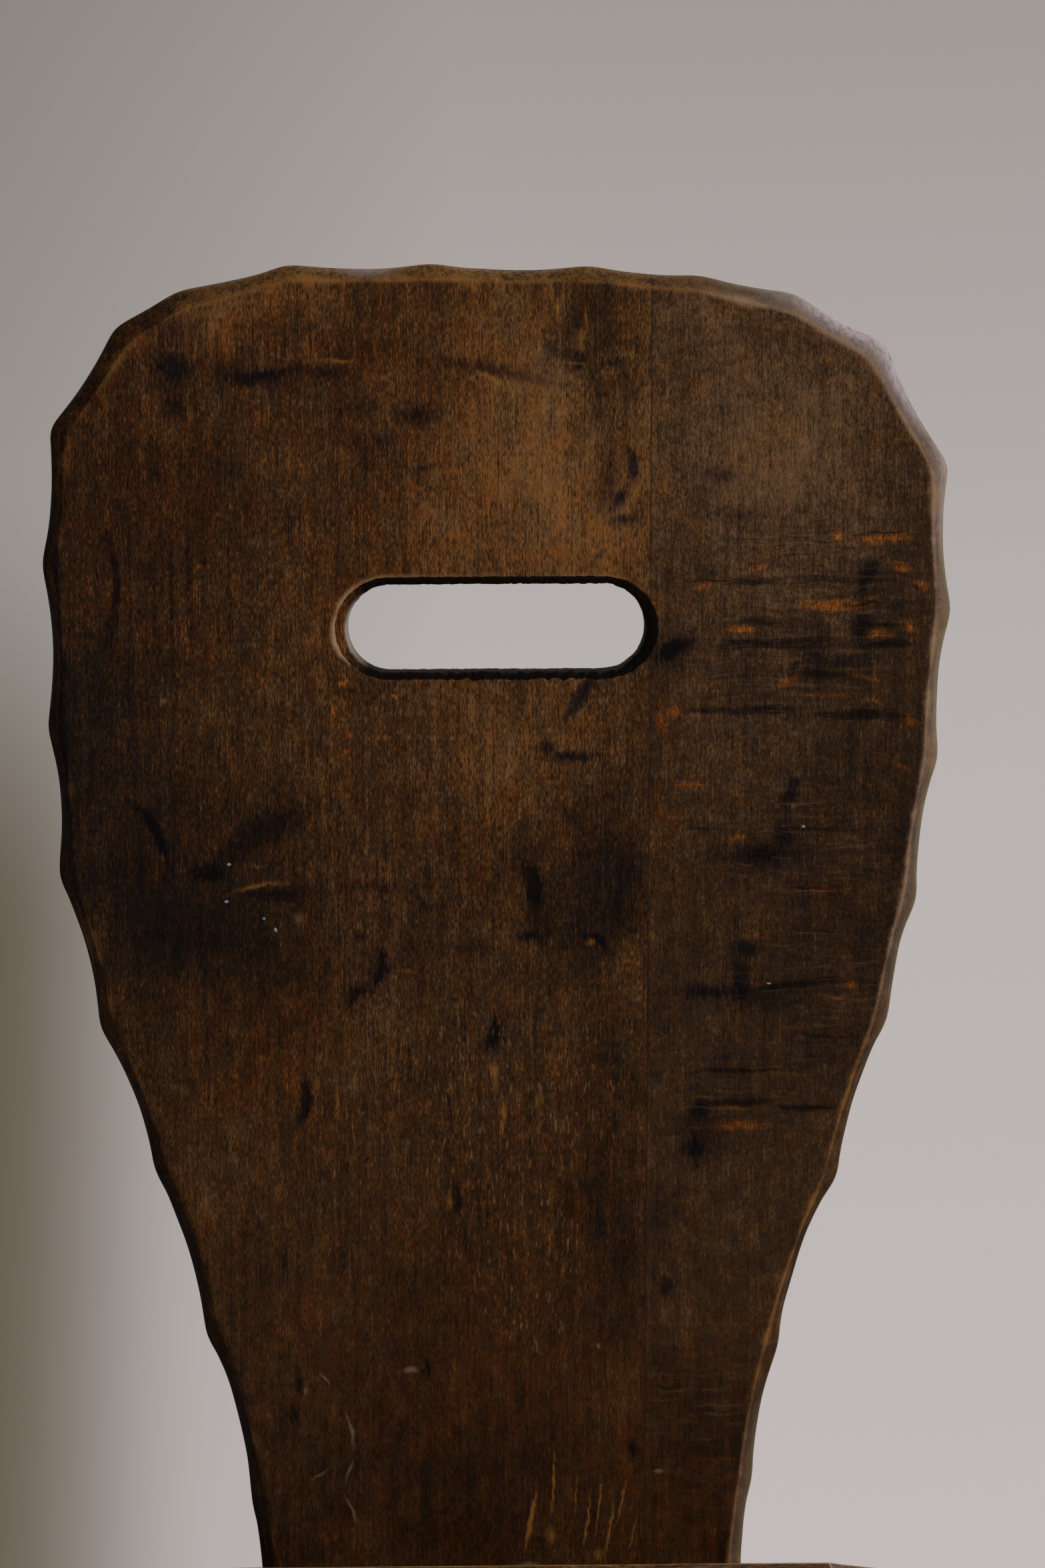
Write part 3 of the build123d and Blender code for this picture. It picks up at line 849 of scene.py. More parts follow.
@dataclass
class BackBoard:
    """Leaning back of two staves: scalloped and bevelled all round, with a hand-hold slot.

    Angles are in degrees. The flanks and the crown give the ridges between the hollows: shares of
    how far a flank flares, or of the crown's half width, with shares of the rise. The arrises give
    how wide each is rounded and how rubbed it is, from the rear face to the front face.
    """

    rise: float = 458.5
    width: float = 316.0
    base_width: float = 169.5
    thickness: float = 25.0
    lean: float = 18.0
    setback: float = 38.0
    foot_below: float = 10.6
    glue_line: float = 49.8
    glue_tilt: float = 0.48
    gouge: float = 165.0
    bevel_width: float = 5.5
    bevel_depth: float = 5.0
    ridge_inset: float = 0.4
    arris_hollow: float = 0.45
    bevel_hollow: float = 1.9
    slot_length: float = 104.0
    slot_height: float = 30.4
    slot_rise: float = 332.6
    slot_offset: float = 0.4
    slot_round: float = 2.9
    slot_points: int = 440
    grip_from: float = -44.0
    grip_end: float = 36.0
    grip_below: float = 12.5
    end_flare: float = 0.5
    lower_tuck: float = 0.08
    upper_fray: float = 0.45
    lower_fray: float = 1.5
    fray_to: float = 34.0
    station_step: float = 1.25
    face_margin: float = 2.6
    slot_margin: float = 1.6
    face_rub: float = 4.6
    edge_rub: float = 3.8
    unsteady: float = 0.35
    corner_bevel: float = 0.5
    corner_reach: float = 70.0
    corner_out: float = 0.42
    corner_up: float = 0.93
    weld: float = 0.001
    left_bevel: float = 0.12
    left_bevel_to: float = 0.8
    arrises: Pairs = ((1.5, 1.0), (1.8, 0.55), (2.8, 0.25), (1.8, 0.55), (1.5, 1.0))
    left_flank: Pairs = (
        (0.055, 0.051), (0.265, 0.184), (0.505, 0.311), (0.753, 0.423),
        (0.938, 0.537), (0.982, 0.651), (1.000, 0.774), (0.951, 0.877),
    )
    crown: Pairs = (
        (0.834, 0.952), (0.695, 0.980), (0.458, 0.999), (0.141, 1.000),
        (-0.198, 0.998), (-0.447, 0.990), (-0.654, 0.976), (-0.850, 0.939),
    )
    right_flank: Pairs = (
        (0.982, 0.847), (0.997, 0.737), (0.940, 0.625), (0.842, 0.518),
        (0.700, 0.423), (0.459, 0.302), (0.179, 0.171), (0.056, 0.068),
    )

    def __post_init__(self) -> None:
        """Find the board's plane from the seat: its rear face, x to the left, y up the slope."""
        seat_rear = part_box("seat_stave_rear")[1]
        self.seat_top = seat_rear.z
        tilt = radians(90 - self.lean)
        turn = Matrix.Rotation(tilt, 4, "X")
        self.plane = Matrix.Translation((0, seat_rear.y - self.setback * MM, self.seat_top)) @ turn

    def ridges(self) -> list[Vector]:
        """Ridges between the hollows.

        Returns:
            Their places, anticlockwise from the left foot.
        """
        base = self.base_width / 2
        flare = self.width / 2 - base
        points = [Vector((base, -self.foot_below))]
        points += [Vector((base + flare * out, self.rise * up)) for out, up in self.left_flank]
        points += [Vector((self.width / 2 * out, self.rise * up)) for out, up in self.crown]
        points += [Vector((-base - flare * out, self.rise * up)) for out, up in self.right_flank]
        points += [Vector((-base, -self.foot_below))]
        return points

    def set_in(self, ridges: list[Vector], inset: float) -> list[Vector]:
        """Move ridges inwards, square to the outline, but the two feet straight inwards.

        Args:
            ridges: the ridges of the widest outline.
            inset: how far they move, apart from where the bevel is cut wider.

        Returns:
            The moved ridges.
        """
        moved = []
        for index, ridge in enumerate(ridges):
            along = (ridges[(index + 1) % len(ridges)] - ridges[index - 1]).normalized()
            wide = 1.0
            if inset > self.ridge_inset:
                wide += self.corner_bevel * self.near_corner(ridge)
                on_left = ridge.x > self.base_width / 2 and ridge.y < self.rise * self.left_bevel_to
                wide += self.left_bevel if on_left else 0.0
            moved.append(ridge + Vector((-along.y, along.x)) * inset * wide)
        moved[0] = ridges[0] - Vector((inset, 0))
        moved[-1] = ridges[-1] + Vector((inset, 0))
        return moved

    def near_corner(self, ridge: Vector) -> float:
        """How near a ridge is to one of the two upper corners, from 0 to 1."""
        corner = Vector((self.width * self.corner_out, self.rise * self.corner_up))
        return max(0.0, 1 - (Vector((abs(ridge.x), ridge.y)) - corner).length / self.corner_reach)

    def stations(self) -> list[tuple[int, float]]:
        """Places along the outline.

        Returns:
            For each, the number of its hollow and its share along the hollow.
        """
        ridges = self.ridges()
        found = []
        for index, ridge in enumerate(ridges):
            span = (ridges[(index + 1) % len(ridges)] - ridge).length
            steps = max(2, round(span / self.station_step))
            found += [(index, step / steps) for step in range(steps)]
        return found

    def outline(self, inset: float, hollow: float, depth: float, worn: float) -> list[Vector]:
        """One outline of the edge, a little unsteady and with its ridges rubbed round.

        Args:
            inset: how far it lies inside the widest outline.
            hollow: how deep its hollows are, against mid-edge.
            depth: through the board from its rear face.
            worn: how far along the edge the rubbing reaches.

        Returns:
            A point for each station, on the board's plane with its depth.
        """
        ridges = self.ridges()
        points = self.set_in(ridges, inset)
        last = len(points) - 1
        found = []
        for index, share in self.stations():
            start, end = points[index], points[(index + 1) % len(points)]
            chord = end - start
            spot = start + chord * share
            if index != last:
                inwards = Vector((-chord.y, chord.x)).normalized()
                sag = hollow * chord.length**2 / (8 * self.gouge) * dip(share)
                sag *= 1 + 0.25 * uneven(index * 3.7, share * 1.7, depth * 0.02)
                shake = uneven(spot.x * 0.09, spot.y * 0.09, depth * 0.05)
                shake += 0.45 * uneven(spot.x * 0.31, spot.y * 0.31, 9 + depth * 0.12)
                spot = spot + inwards * (sag + self.unsteady * shake)
            found.append(Vector((spot.x, spot.y, depth)))
        passes = round(2 * (worn / self.station_step) ** 2)
        rubbed = rubbed_round(found, passes, 2 - self.foot_below)
        starts = [at for at, (_, share) in enumerate(self.stations()) if share == 0.0]
        lost = [found[at] - rubbed[at] for at in starts]
        for at, (index, share) in enumerate(self.stations()):
            rubbed[at] = rubbed[at] + lost[index].lerp(lost[(index + 1) % len(lost)], share)
        return rubbed

    def edge_skin(self, bm: BMesh) -> Rims:
        """Skin of the scalloped edge from the rear face's arris round to the front face's.

        Args:
            bm: the mesh that it is added to.

        Returns:
            The edges of its rim on the rear face and of its rim on the front face.
        """
        half = [
            (self.bevel_width + self.face_margin, self.arris_hollow, 0.0, self.face_rub),
            (self.bevel_width, self.arris_hollow, 0.0, self.face_rub),
            (self.ridge_inset, self.bevel_hollow, self.bevel_depth, self.edge_rub),
        ]
        lines = [self.outline(*line) for line in half]
        lines.append(self.outline(0.0, 1.0, self.thickness / 2, self.edge_rub))
        for inset, hollow, depth, rub in reversed(half):
            lines.append(self.outline(inset, hollow, self.thickness - depth, rub))
        dips = [dip(share) for _, share in self.stations()]
        last = len(self.arrises)
        rings = [Ring(lines[0])]
        for arris, (radius, worn) in enumerate(self.arrises, start=1):
            from_edge, to_edge = float(arris > 1), float(arris < last)
            corners = list(zip(lines[arris - 1], lines[arris], lines[arris + 1]))
            for share in (0.0, 0.25, 0.5, 0.75, 1.0):
                places = [rounded_corner(*corner, radius, share) for corner in corners]
                rubbed = worn * (1 - abs(share - 0.5) * 1.1)
                edge = from_edge + (to_edge - from_edge) * share
                rings.append(Ring(places, rubbed, edge, [dip_here * edge for dip_here in dips]))
        rings.append(Ring(lines[-1]))
        return skin(bm, rings)

    def slot_outline(self, grow: float, depth: float, torn: float = 0.0) -> list[Vector]:
        """The slot's outline, with torn fibres along its long sides.

        Args:
            grow: how far it lies outside the slot's walls.
            depth: through the board from its rear face.
            torn: how torn it is.

        Returns:
            Its points, anticlockwise from the left end of its upper side.
        """
        half = self.slot_height / 2
        straight = self.slot_length / 2 - half
        halfway = 2 * straight + pi * half
        found = []
        for index in range(self.slot_points):
            run = 2 * halfway * index / self.slot_points
            below = run >= halfway
            run -= halfway if below else 0.0
            if run < 2 * straight:
                spot, out = Vector((straight - run, half)), Vector((0, 1))
            else:
                angle = pi / 2 + (run - 2 * straight) / half
                out = Vector((cos(angle), sin(angle)))
                spot = Vector((-straight, 0)) + out * half
            if below:
                spot, out = -spot, -out
            fray = uneven(spot.x * 0.5, spot.y * 0.5, 3.0 + depth * 0.2)
            fray += 1.1 * max(0.0, uneven(spot.x * 1.25, spot.y * 1.25, 7.0 + depth * 0.3))
            lower_side = out.y < -0.5
            rough = self.lower_fray if lower_side and spot.x < self.fray_to else self.upper_fray
            wide = 1.0 + self.end_flare * out.x**2 - (self.lower_tuck if lower_side else 0.0)
            spot = spot + out * (grow * wide + torn * rough * fray)
            found.append(Vector((spot.x + self.slot_offset, spot.y + self.slot_rise, depth)))
        return found

    def grip_wear(self, at: Vector) -> float:
        """How worn the rear rim is: most round its left end, and least below.

        Args:
            at: a point of the rim.

        Returns:
            The wear, where 1 is that of an arris.
        """
        if at.x > self.grip_end and at.y > self.slot_rise - self.grip_below:
            return 1.3
        return 1.0 if at.y > self.slot_rise and at.x > self.grip_from else 0.2

    def slot_skin(self, bm: BMesh) -> Rims:
        """Skin of the slot: rounded rims, the rear one torn, and straight walls, its roundings and walls
        marked dark for grime and painted shade.

        Args:
            bm: the mesh that it is added to.

        Returns:
            The edges of its rim on the rear face and of its rim on the front face.
        """
        t, r = self.thickness, self.slot_round
        rear, front = [], []
        for turn in (radians(angle) for angle in (0, 7, 15, 30, 45, 60, 75, 90)):
            grow, depth = r * (1 - sin(turn)), r * (1 - cos(turn))
            torn = 0.5 + 0.7 * sin(turn) * (1.15 - sin(turn))
            places = self.slot_outline(grow, depth, torn)
            worn = [self.grip_wear(at) for at in places]
            # The rims' roundings and the walls are marked dark for grime and painted shade.
            rear.append(Ring(places, grime_and_shade=1.0) if turn > 0 else Ring(places, worn))
            front.append(Ring(self.slot_outline(grow, t - depth, 0.15), sin(turn), grime_and_shade=1.0))
        walls = [Ring(self.slot_outline(0.0, t * share, torn), grime_and_shade=1.0)
                 for share, torn in ((0.28, 0.4), (0.45, 0.3), (0.7, 0.2))]
        first, last = (Ring(self.slot_outline(r + self.slot_margin, depth)) for depth in (0.0, t))
        return skin(bm, [first, *rear, *walls, *reversed(front), last])

    def whole(self) -> BMesh:
        """The board above the seat.

        Returns:
            Its closed mesh, in metres and in place.
        """
        bm = bmesh.new()
        outer = self.edge_skin(bm)
        inner = self.slot_skin(bm)
        for outer_ring, slot_ring in zip(outer, inner):
            bmesh.ops.triangle_fill(bm, use_beauty=True, use_dissolve=False, edges=outer_ring + slot_ring)
        bmesh.ops.remove_doubles(bm, verts=bm.verts, dist=self.weld)
        for face in bm.faces:
            face.smooth = True
        bmesh.ops.scale(bm, vec=(MM, MM, MM), verts=bm.verts)
        bmesh.ops.transform(bm, matrix=self.plane, verts=bm.verts)
        bmesh.ops.recalc_face_normals(bm, faces=bm.faces)
        cut_off(bm, Vector((0, 0, self.seat_top)), Vector((0, 0, -1)))
        return bm

    def stave(self, node: str, side: int) -> BMesh:
        """One stave with its tenon.

        Args:
            node: the solid that the tenon comes from.
            side: +1 for the stave on the sitter's left of the glue line, -1 for the other.

        Returns:
            The stave's mesh.
        """
        bm = self.whole()
        tilt = radians(self.glue_tilt)
        point = self.plane @ (Vector((-self.glue_line, 0, 0)) * MM)
        away = self.plane.to_3x3() @ Vector((cos(tilt), sin(tilt), 0)) * -side
        cut_off(bm, point, away)
        tenon = solid_copy(node)
        cut_off(tenon, Vector((0, 0, self.seat_top - TENON_GAP)), Vector((0, 0, 1)))
        shade_by_angle(tenon)
        mesh = finished_mesh(f"{node}_tenon", tenon)
        bm.from_mesh(mesh)
        bpy.data.meshes.remove(mesh)
        return bm


def cut_off(bm: BMesh, point: Vector, away: Vector) -> None:
    """Cut a mesh by a plane and close the cut.

    Args:
        bm: the mesh, changed in place.
        point: a point of the plane.
        away: square to the plane, to the side that is dropped.
    """
    geometry = [*bm.verts, *bm.edges, *bm.faces]
    made = bmesh.ops.bisect_plane(bm, geom=geometry, dist=ON_CUT, plane_co=point, plane_no=away,
                                  clear_outer=True)
    rim = [item for item in made["geom_cut"] if isinstance(item, BMEdge) and len(item.link_faces) == 1]
    if not rim:
        return
    filled = bmesh.ops.triangle_fill(bm, use_beauty=True, use_dissolve=True, edges=rim)["geom"]
    for face in (item for item in filled if isinstance(item, BMFace)):
        face.smooth = False
        if face.normal.dot(away) < 0:
            face.normal_flip()
    for edge in rim:
        edge.smooth = False


# ---- marks on the back's rear face ------------------------------------------------------
class BackMarks:
    """Stains, bruises, cross figure and scratches of the rear face, and the painted light and shade of its
    edge and slot.

    Each row of places gives a mark: across, up, half width and half height in the board's
    millimetres, turn in degrees, strength, and a bend where it is a crescent.
    """

    # Painted sheen: the pale greyish look of the right flank, which faces the window.
    window_sheen_grey = hand_tint(104, 86, 72)
    # Darker patches in the hollows of the right flank.
    hollow_dark = hand_tint(50, 46, 54)
    # Painted sheen on the outer part of the right flank.
    lit_olive_rim = hand_tint(102, 92, 64)
    # Painted shade on the outer part of the left flank.
    shade_black_rim = hand_tint(11, 10, 8)
    # Golden end grain of the crown, made lighter by painted light from above.
    lit_golden_top = hand_tint(98, 70, 26)
    # Painted highlight: pale glints at the upper right corner.
    corner_glint_tint = hand_tint(160, 150, 153)
    # Rubbed wood of the right flank, paler and pinker with painted light.
    bare_and_lit_right = hand_tint(124, 97, 74)
    bare_grip = hand_tint(160, 126, 98)
    # Painted highlight of the slot's far rim, where it is rubbed and catches the light.
    far_rim_worn_highlight = hand_tint(142, 132, 120)
    wave_dark = hand_tint(20, 14, 13)
    wave_pale = hand_tint(92, 66, 40)
    line_dark = hand_tint(16, 11, 11)
    chip_pale = hand_tint(118, 82, 46)
    chip_dark = hand_tint(18, 12, 11)
    # Golden streaks: partly rubbed wood, partly painted glints.
    glint_and_rub_gold = hand_tint(136, 90, 36)
    scratch_pale = hand_tint(122, 98, 80)
    speck_grey = hand_tint(140, 138, 150)
    glue_dark = hand_tint(24, 17, 15)
    # The slot's walls: grime, and painted shade inside the hole.
    grime_and_shade_black = hand_tint(5, 5, 5)
    # Painted reflection of the pale wall on the near rim at the slot's left end.
    lip_reflection = hand_tint(150, 138, 128)
    smear_tint: Colour = (0.30, 0.29, 0.50, 1.0)
    ink_tint: Colour = (0.10, 0.14, 0.48, 1.0)
    furrow_tint: Colour = (0.15, 0.15, 0.24, 1.0)
    glow_tint: Colour = (1.7, 1.2, 0.7, 1.0)
    flame_tint: Colour = (1.95, 1.62, 1.0, 1.0)
    places: dict[str, tuple[tuple[float, ...], ...]] = {
        # Paler and darker pools of tone: uneven stain with painted sheen; the darker ones also run along
        # the foot.
        "sunned": (
            (-16, 386, 70, 92, 0, 0.95), (-96, 392, 62, 75, 0, 0.8), (-2, 298, 56, 48, 0, 0.55),
            (-95, 300, 50, 55, 0, 0.3), (45, 350, 60, 90, 0, 0.2), (-78, 440, 60, 30, 0, 0.6),
            (76, 446, 62, 22, 0, 0.6), (-18, 438, 22, 26, 0, 0.5), (-104, 418, 44, 36, 0, 0.4),
        ),
        "shaded": (
            (158, 300, 60, 120, 0, 0.95), (122, 242, 66, 74, 12, 1.0), (100, 366, 34, 40, 10, 0.4),
            (-34, 238, 24, 44, 0, 0.8), (-34, 428, 12, 44, 0, 0.8), (-38, 140, 18, 90, 0, 0.6),
            (10, 36, 110, 40, 0, 0.6), (-68, 44, 30, 50, 0, 0.6), (66, 24, 50, 30, 0, 0.3),
            (-140, 250, 45, 80, 0, 0.5), (-128, 336, 26, 34, 0, 0.3), (-112, 190, 50, 40, 0, 0.35),
            (20, 70, 110, 110, 0, 0.25), (36, 404, 30, 34, 0, 0.2), (114, 352, 16, 34, 0, 0.5),
        ),
        "reddened": (
            (76, 190, 40, 45, 0, 1.0), (60, 340, 26, 60, 0, 0.6), (-56, 270, 9, 70, 0, 1.0),
            (5, 248, 16, 20, 0, 0.7), (-30, 130, 30, 60, 0, 0.5), (10, 60, 80, 90, 0, 1.2),
            (55, 432, 90, 34, 0, 0.7), (45, 370, 60, 70, 0, 0.5), (104, 270, 26, 40, 0, 0.5),
            (30, 375, 40, 30, 0, 0.5), (-66, 30, 40, 90, 0, 1.8), (118, 385, 56, 90, 0, 0.8),
        ),
        # Greyer cast: partly stain, partly painted sheen of the window.
        "greyed": (
            (-105, 380, 64, 115, 0, 1.25), (-24, 420, 34, 50, 0, 0.6), (20, 200, 60, 60, 0, 0.35),
            (80, 330, 24, 50, 0, 0.3),
        ),
        "chipped": (
            (0, 168, 60, 42, 0, 1.0), (-8, 118, 34, 50, 0, 0.9), (55, 150, 26, 30, 0, 0.6),
        ),
        "smears": (
            (110, 436, 12, 9, 0, 0.8), (84, 419, 22, 5, 12, 0.95, -2), (60, 421, 20, 4, 2, 0.7),
            (2, 422, 4, 34, -80, 0.75, -2), (50, 409, 12, 4.5, 0, 0.55), (28, 406, 12, 7, 0, 0.6),
            (83, 262, 8, 27, 60, 1.0, 2), (108, 226, 16, 52, 86, 0.5), (124, 250, 16, 14, 0, 0.4),
            (43, 243, 20, 3, 5, 0.7), (20, 236, 14, 4, -10, 0.5), (76, 240, 4, 20, 90, 0.9, -3.5),
            (-110, 322, 10, 22, 4, 0.75), (-92, 252, 26, 9, 0, 0.75), (-88, 204, 26, 9, 0, 0.7),
            (-60, 325, 8, 14, 65, 0.8), (-70, 156, 14, 14, 0, 0.7), (-38, 384, 9, 18, 10, 0.55),
            (-12, 232, 9, 20, -6, 0.55), (45, 212, 9, 16, 20, 0.5), (122, 390, 20, 18, 0, 0.45),
            (-78, 385, 14, 6, 0, 0.55), (-88, 372, 22, 4, 0, 0.45), (-30, 400, 8, 10, 0, 0.4),
            (0, 190, 8, 14, 10, 0.5), (60, 165, 6, 14, 10, 0.45), (14, 222, 20, 5, 0, 0.4),
            (102, 350, 1.0, 36, 0, 0.7), (107, 356, 1.5, 30, 0, 0.7), (113, 346, 1.1, 40, 0, 0.8),
            (119, 340, 1.6, 34, 0, 0.6), (127, 352, 1.0, 40, 0, 0.6), (93, 340, 0.9, 40, 0, 0.5),
            (134, 330, 1.2, 30, 0, 0.5), (75, 300, 0.9, 40, 0, 0.4),
        ),
        "bruises": (
            (112, 423, 13, 13, 0, 0.95), (111, 410, 7, 9, 0, 0.8), (80, 420, 4.5, 20, 80, 0.8, -1.5),
            (28, 407, 9, 6, 0, 0.55), (41, 397, 11, 6, 0, 0.5), (25, 388, 2, 13, 80, 0.4),
            (-28, 424, 3, 6, 0, 0.8), (-40, 424, 10, 3, 0, 0.6), (-47, 389, 2.4, 9, -5, 1.25, -2),
            (-42, 377, 2.8, 9, 35, 0.95), (-44, 370, 4, 9, 82, 0.8), (-60, 325, 4.2, 12, 65, 1.1),
            (-28, 308, 3.8, 13, 31, 1.15), (-25, 288, 15, 3.6, -3, 1.0), (-17, 291, 5, 5, 0, 0.8),
            (-128, 350, 3.8, 11, 22, 1.15), (-126, 332, 5, 9, 2, 0.95), (-121, 320, 12, 4.5, 0, 0.6),
            (-101, 274, 3.8, 11, 20, 1.05, 2), (-99, 260, 5.5, 8.5, 0, 0.9), (-93, 254, 14, 5, 0, 0.85),
            (-12, 243, 4, 12, -6, 1.6, -2.5), (-11, 225, 9, 3, 0, 0.85), (-34, 224, 3, 8, -60, 0.85, -3),
            (-21, 221, 4, 3.5, 0, 0.7), (-86, 220, 7.5, 5.5, 0, 1.0), (-84, 210, 4.5, 13, 0, 1.05),
            (-71, 205, 16, 4, 0, 0.85), (-70, 164, 4.6, 6, 0, 1.0), (-68, 149, 7.5, 8, 0, 0.85),
            (41, 214, 3.4, 10, 10, 1.35, -3.5), (50, 205, 3.4, 8, 53, 0.95, 1),
            (49, 226, 6, 4.5, 0, 0.6), (2, 191, 3.2, 10, 11, 1.25, -4), (68, 167, 2.7, 14, 11, 1.15, -4),
            (15, 133, 2.6, 10, 0, 0.8), (26, 73, 2, 8, 0, 0.9, -2), (71, 67, 2.4, 6, 0, 0.9),
            (76, 110, 2.2, 8, 0, 0.7), (73, 56, 3, 8, 0, 0.7), (-58, 101, 4, 7, 0, 0.75),
            (-46, 43, 3, 7, 0, 0.8), (119, 262, 2.7, 20, -26, 1.3, -6), (132, 349, 2.2, 27, -3, 1.0, -5),
            (102, 248, 5, 10, 85, 1.1),
        ),
        "figure": (
            (-112, 334, 52, 46, 0, 1.4), (-98, 318, 46, 26, 0, 1.2), (-112, 205, 38, 44, 0, 1.1),
            (-104, 262, 44, 34, 0, 0.9), (-85, 165, 30, 24, 0, 1.0), (-70, 60, 30, 60, 0, 0.6),
        ),
        "furrows": (
            (-88, 348, 2.6, 16, 89, 1.1, -2), (-116, 348, 2.4, 34, 89, 0.8), (-74, 349, 2, 20, 90, 0.7),
            (-88, 334, 1.8, 18, 89, 1.0, 1), (-96, 327, 2.8, 30, 88, 1.25, -1),
            (-135, 326, 2.4, 14, 87, 1.25), (-134, 333, 1.8, 12, 90, 0.9),
            (-112, 316, 3.4, 24, 90, 0.95), (-85, 304, 2.2, 34, 89, 1.1, 0.6),
            (-128, 302, 3.4, 24, 90, 1.25, 1.2), (-124, 340, 1.2, 14, 90, 0.9),
            (-132, 365, 1.3, 12, 88, 0.9), (-112, 242, 1.8, 14, 89, 1.0, -1.5),
            (-110, 262, 2.2, 24, 90, 0.8), (-105, 208, 2.4, 26, 87, 1.15, 1.5),
            (-112, 190, 2.0, 14, 90, 0.9), (-79, 177, 2, 34, 89, 0.85),
            (-83, 166, 2.4, 22, 89, 1.2, 0.8), (-108, 164, 2, 18, 88, 1.2, -1),
            (-70, 262, 1.6, 14, 90, 0.7), (18, 165, 0.9, 9, -4, 1.2), (47, 164, 1.2, 6, 0, 1.1),
            (31, 179, 1.2, 3, 0, 1.1), (47, 147, 1.1, 4, 31, 1.0), (5, 129, 0.9, 13, 0, 0.9),
            (32, 184, 0.9, 6, 0, 0.9),
        ),
        "flames": (
            (-84, 332, 10, 2.8, 2, 1.1), (-71, 347, 6, 1.8, -12, 0.9), (-90, 353, 5, 2.8, -30, 0.7),
            (-131, 330, 9, 2.4, 3, 1.15), (-143, 332, 4, 2.2, 30, 1.1), (-117, 340, 18, 3.2, 0, 1.15),
            (-131, 342, 8, 1.7, 4, 0.8), (-135, 363, 15, 3.2, -3, 1.1), (-118, 364, 4, 3, 40, 0.8),
            (-140, 353, 5.5, 3.4, 15, 1.0), (-147, 347, 4.4, 2.2, 35, 1.0), (-98, 358, 4, 4, -20, 0.6),
            (-101, 314, 8, 2.8, -30, 0.85), (-127, 315, 9, 1.9, 12, 0.95), (-114, 309, 16, 1.5, 0, 0.8),
            (-61, 303, 4, 3.4, 0, 0.9), (-143, 300, 5, 2.4, 30, 0.95), (-130, 307, 8, 1.5, 8, 0.7),
            (-66, 278, 9, 2.2, 0, 0.85), (-82, 259, 8, 2.6, 0, 0.85), (-114, 241, 18, 2.2, 0, 0.8),
            (-90, 208, 8, 1.8, 0, 0.7), (-123, 207, 5, 2.2, 20, 0.9), (-117, 190, 9, 1.9, 0, 0.7),
            (-117, 202, 11, 2.2, 0, 0.6), (-83, 158, 22, 3.4, 0, 0.85), (-83, 164, 20, 2, 0, 0.6),
            (-76, 39, 15, 1.6, 0, 0.7), (-140, 284, 6, 2, 30, 0.7), (-128, 278, 8, 1.6, 20, 0.6),
            (-54, 338, 3, 14, 0, 0.6), (-56, 300, 3.4, 10, 0, 0.7), (-70, 414, 5, 6, 0, 0.4),
            (-80, 390, 5, 4, 0, 0.35), (-58, 380, 6, 10, 0, 0.4), (-92, 372, 9, 2, 0, 0.5),
            (57, 304, 1.6, 4, 0, 0.9), (52, 296, 1.6, 3, 19, 0.9), (53, 290, 1.8, 2.5, 0, 0.9),
            (103, 354, 3, 3, 0, 0.7), (36, 309, 2.2, 1.2, 30, 1.2), (54, 314, 2.2, 1.5, 0, 1.2),
        ),
        # Golden streaks: partly rubbed wood, partly painted glints.
        "rubs": (
            (-10, 18, 1.1, 15, 11, 1.4), (-18, 30, 1.0, 19, 3, 0.9, -1), (-17, 12, 3, 7, 0, 0.7),
            (-34, 5, 4, 5, 0, 0.7), (-30, 17, 0.8, 16, 8, 0.9, -1), (-34, 22, 0.8, 17, 6, 0.9, -1),
            (-38, 15, 0.9, 15, 10, 1.0, -1.4), (-42, 24, 0.8, 15, 12, 0.8, -1.6),
            (-46, 13, 0.7, 12, 14, 0.7), (-26, 26, 0.8, 14, 6, 0.6), (84, 243.5, 1.7, 17, 80, 0.7, 2.4),
            (84, 250, 6, 1.5, 0, 0.5), (117, 253, 0.8, 5, 0, 0.5), (2, 419, 1.7, 8, -63, 0.8, -1.8),
            (-29, 431, 3.2, 7.5, 0, 0.7), (-31, 439, 1.4, 7, 0, 0.7), (-21, 443, 2, 6.5, 0, 0.6),
            (-19, 449, 1.2, 6.5, 0, 0.7), (0, 453, 0.8, 6, 0, 1.1), (54, 425, 9.5, 1.4, 0, 0.7),
            (-26, 424, 12, 1.3, 0, 0.6), (-32, 223, 2.5, 2.5, 0, 0.6), (2, 176, 2.4, 8, 0, 0.8),
            (-1, 163, 1.7, 8, 0, 0.8), (57, 166, 1.4, 9, 0, 0.7), (-13, 167, 1.9, 5, 0, 0.7),
            (18, 132, 2.2, 8, 0, 0.6),
        ),
        # Pale scratches and streaks, and a wide pale patch along the foot.
        "pale_lines": (
            (62, 69, 0.8, 5, -37, 0.9), (53, 51, 1.1, 11, -12, 0.9, -2), (54, 36, 1, 7, 17, 0.8),
            (64, 35, 0.9, 6, 58, 0.7), (53, 22, 1, 9, -22, 0.85, -0.6), (32, 72, 3.9, 1.9, 0, 1.1),
            (69, 65, 1.4, 1.7, 0, 1.0), (-9, 2, 6, 1.6, 0, 1.0), (-55, 35, 3, 1.5, 0, 1.0),
            (-34, 80, 1, 1.5, 0, 1.0), (-12, 81, 0.8, 6, -14, 0.7), (70, 232, 3.6, 3.9, 0, 0.6),
            (116, 308, 1.9, 1.7, 0, 0.7), (-56, 340, 0.5, 60, 0, 0.5), (-110, 400, 0.5, 50, 0, 0.4),
            (-88, 318, 0.45, 70, 1, 0.35),
        ),
        "specks": (
            (94, 251, 1.0, 0.7, 0, 1.1), (95, 238, 1.0, 0.7, 0, 1.1), (82, 232, 0.8, 0.6, 0, 0.9),
            (78, 228, 0.7, 1.2, -20, 1.1), (-106, 263, 0.9, 0.6, 0, 1.1), (-94, 208, 1.3, 0.5, 0, 0.8),
        ),
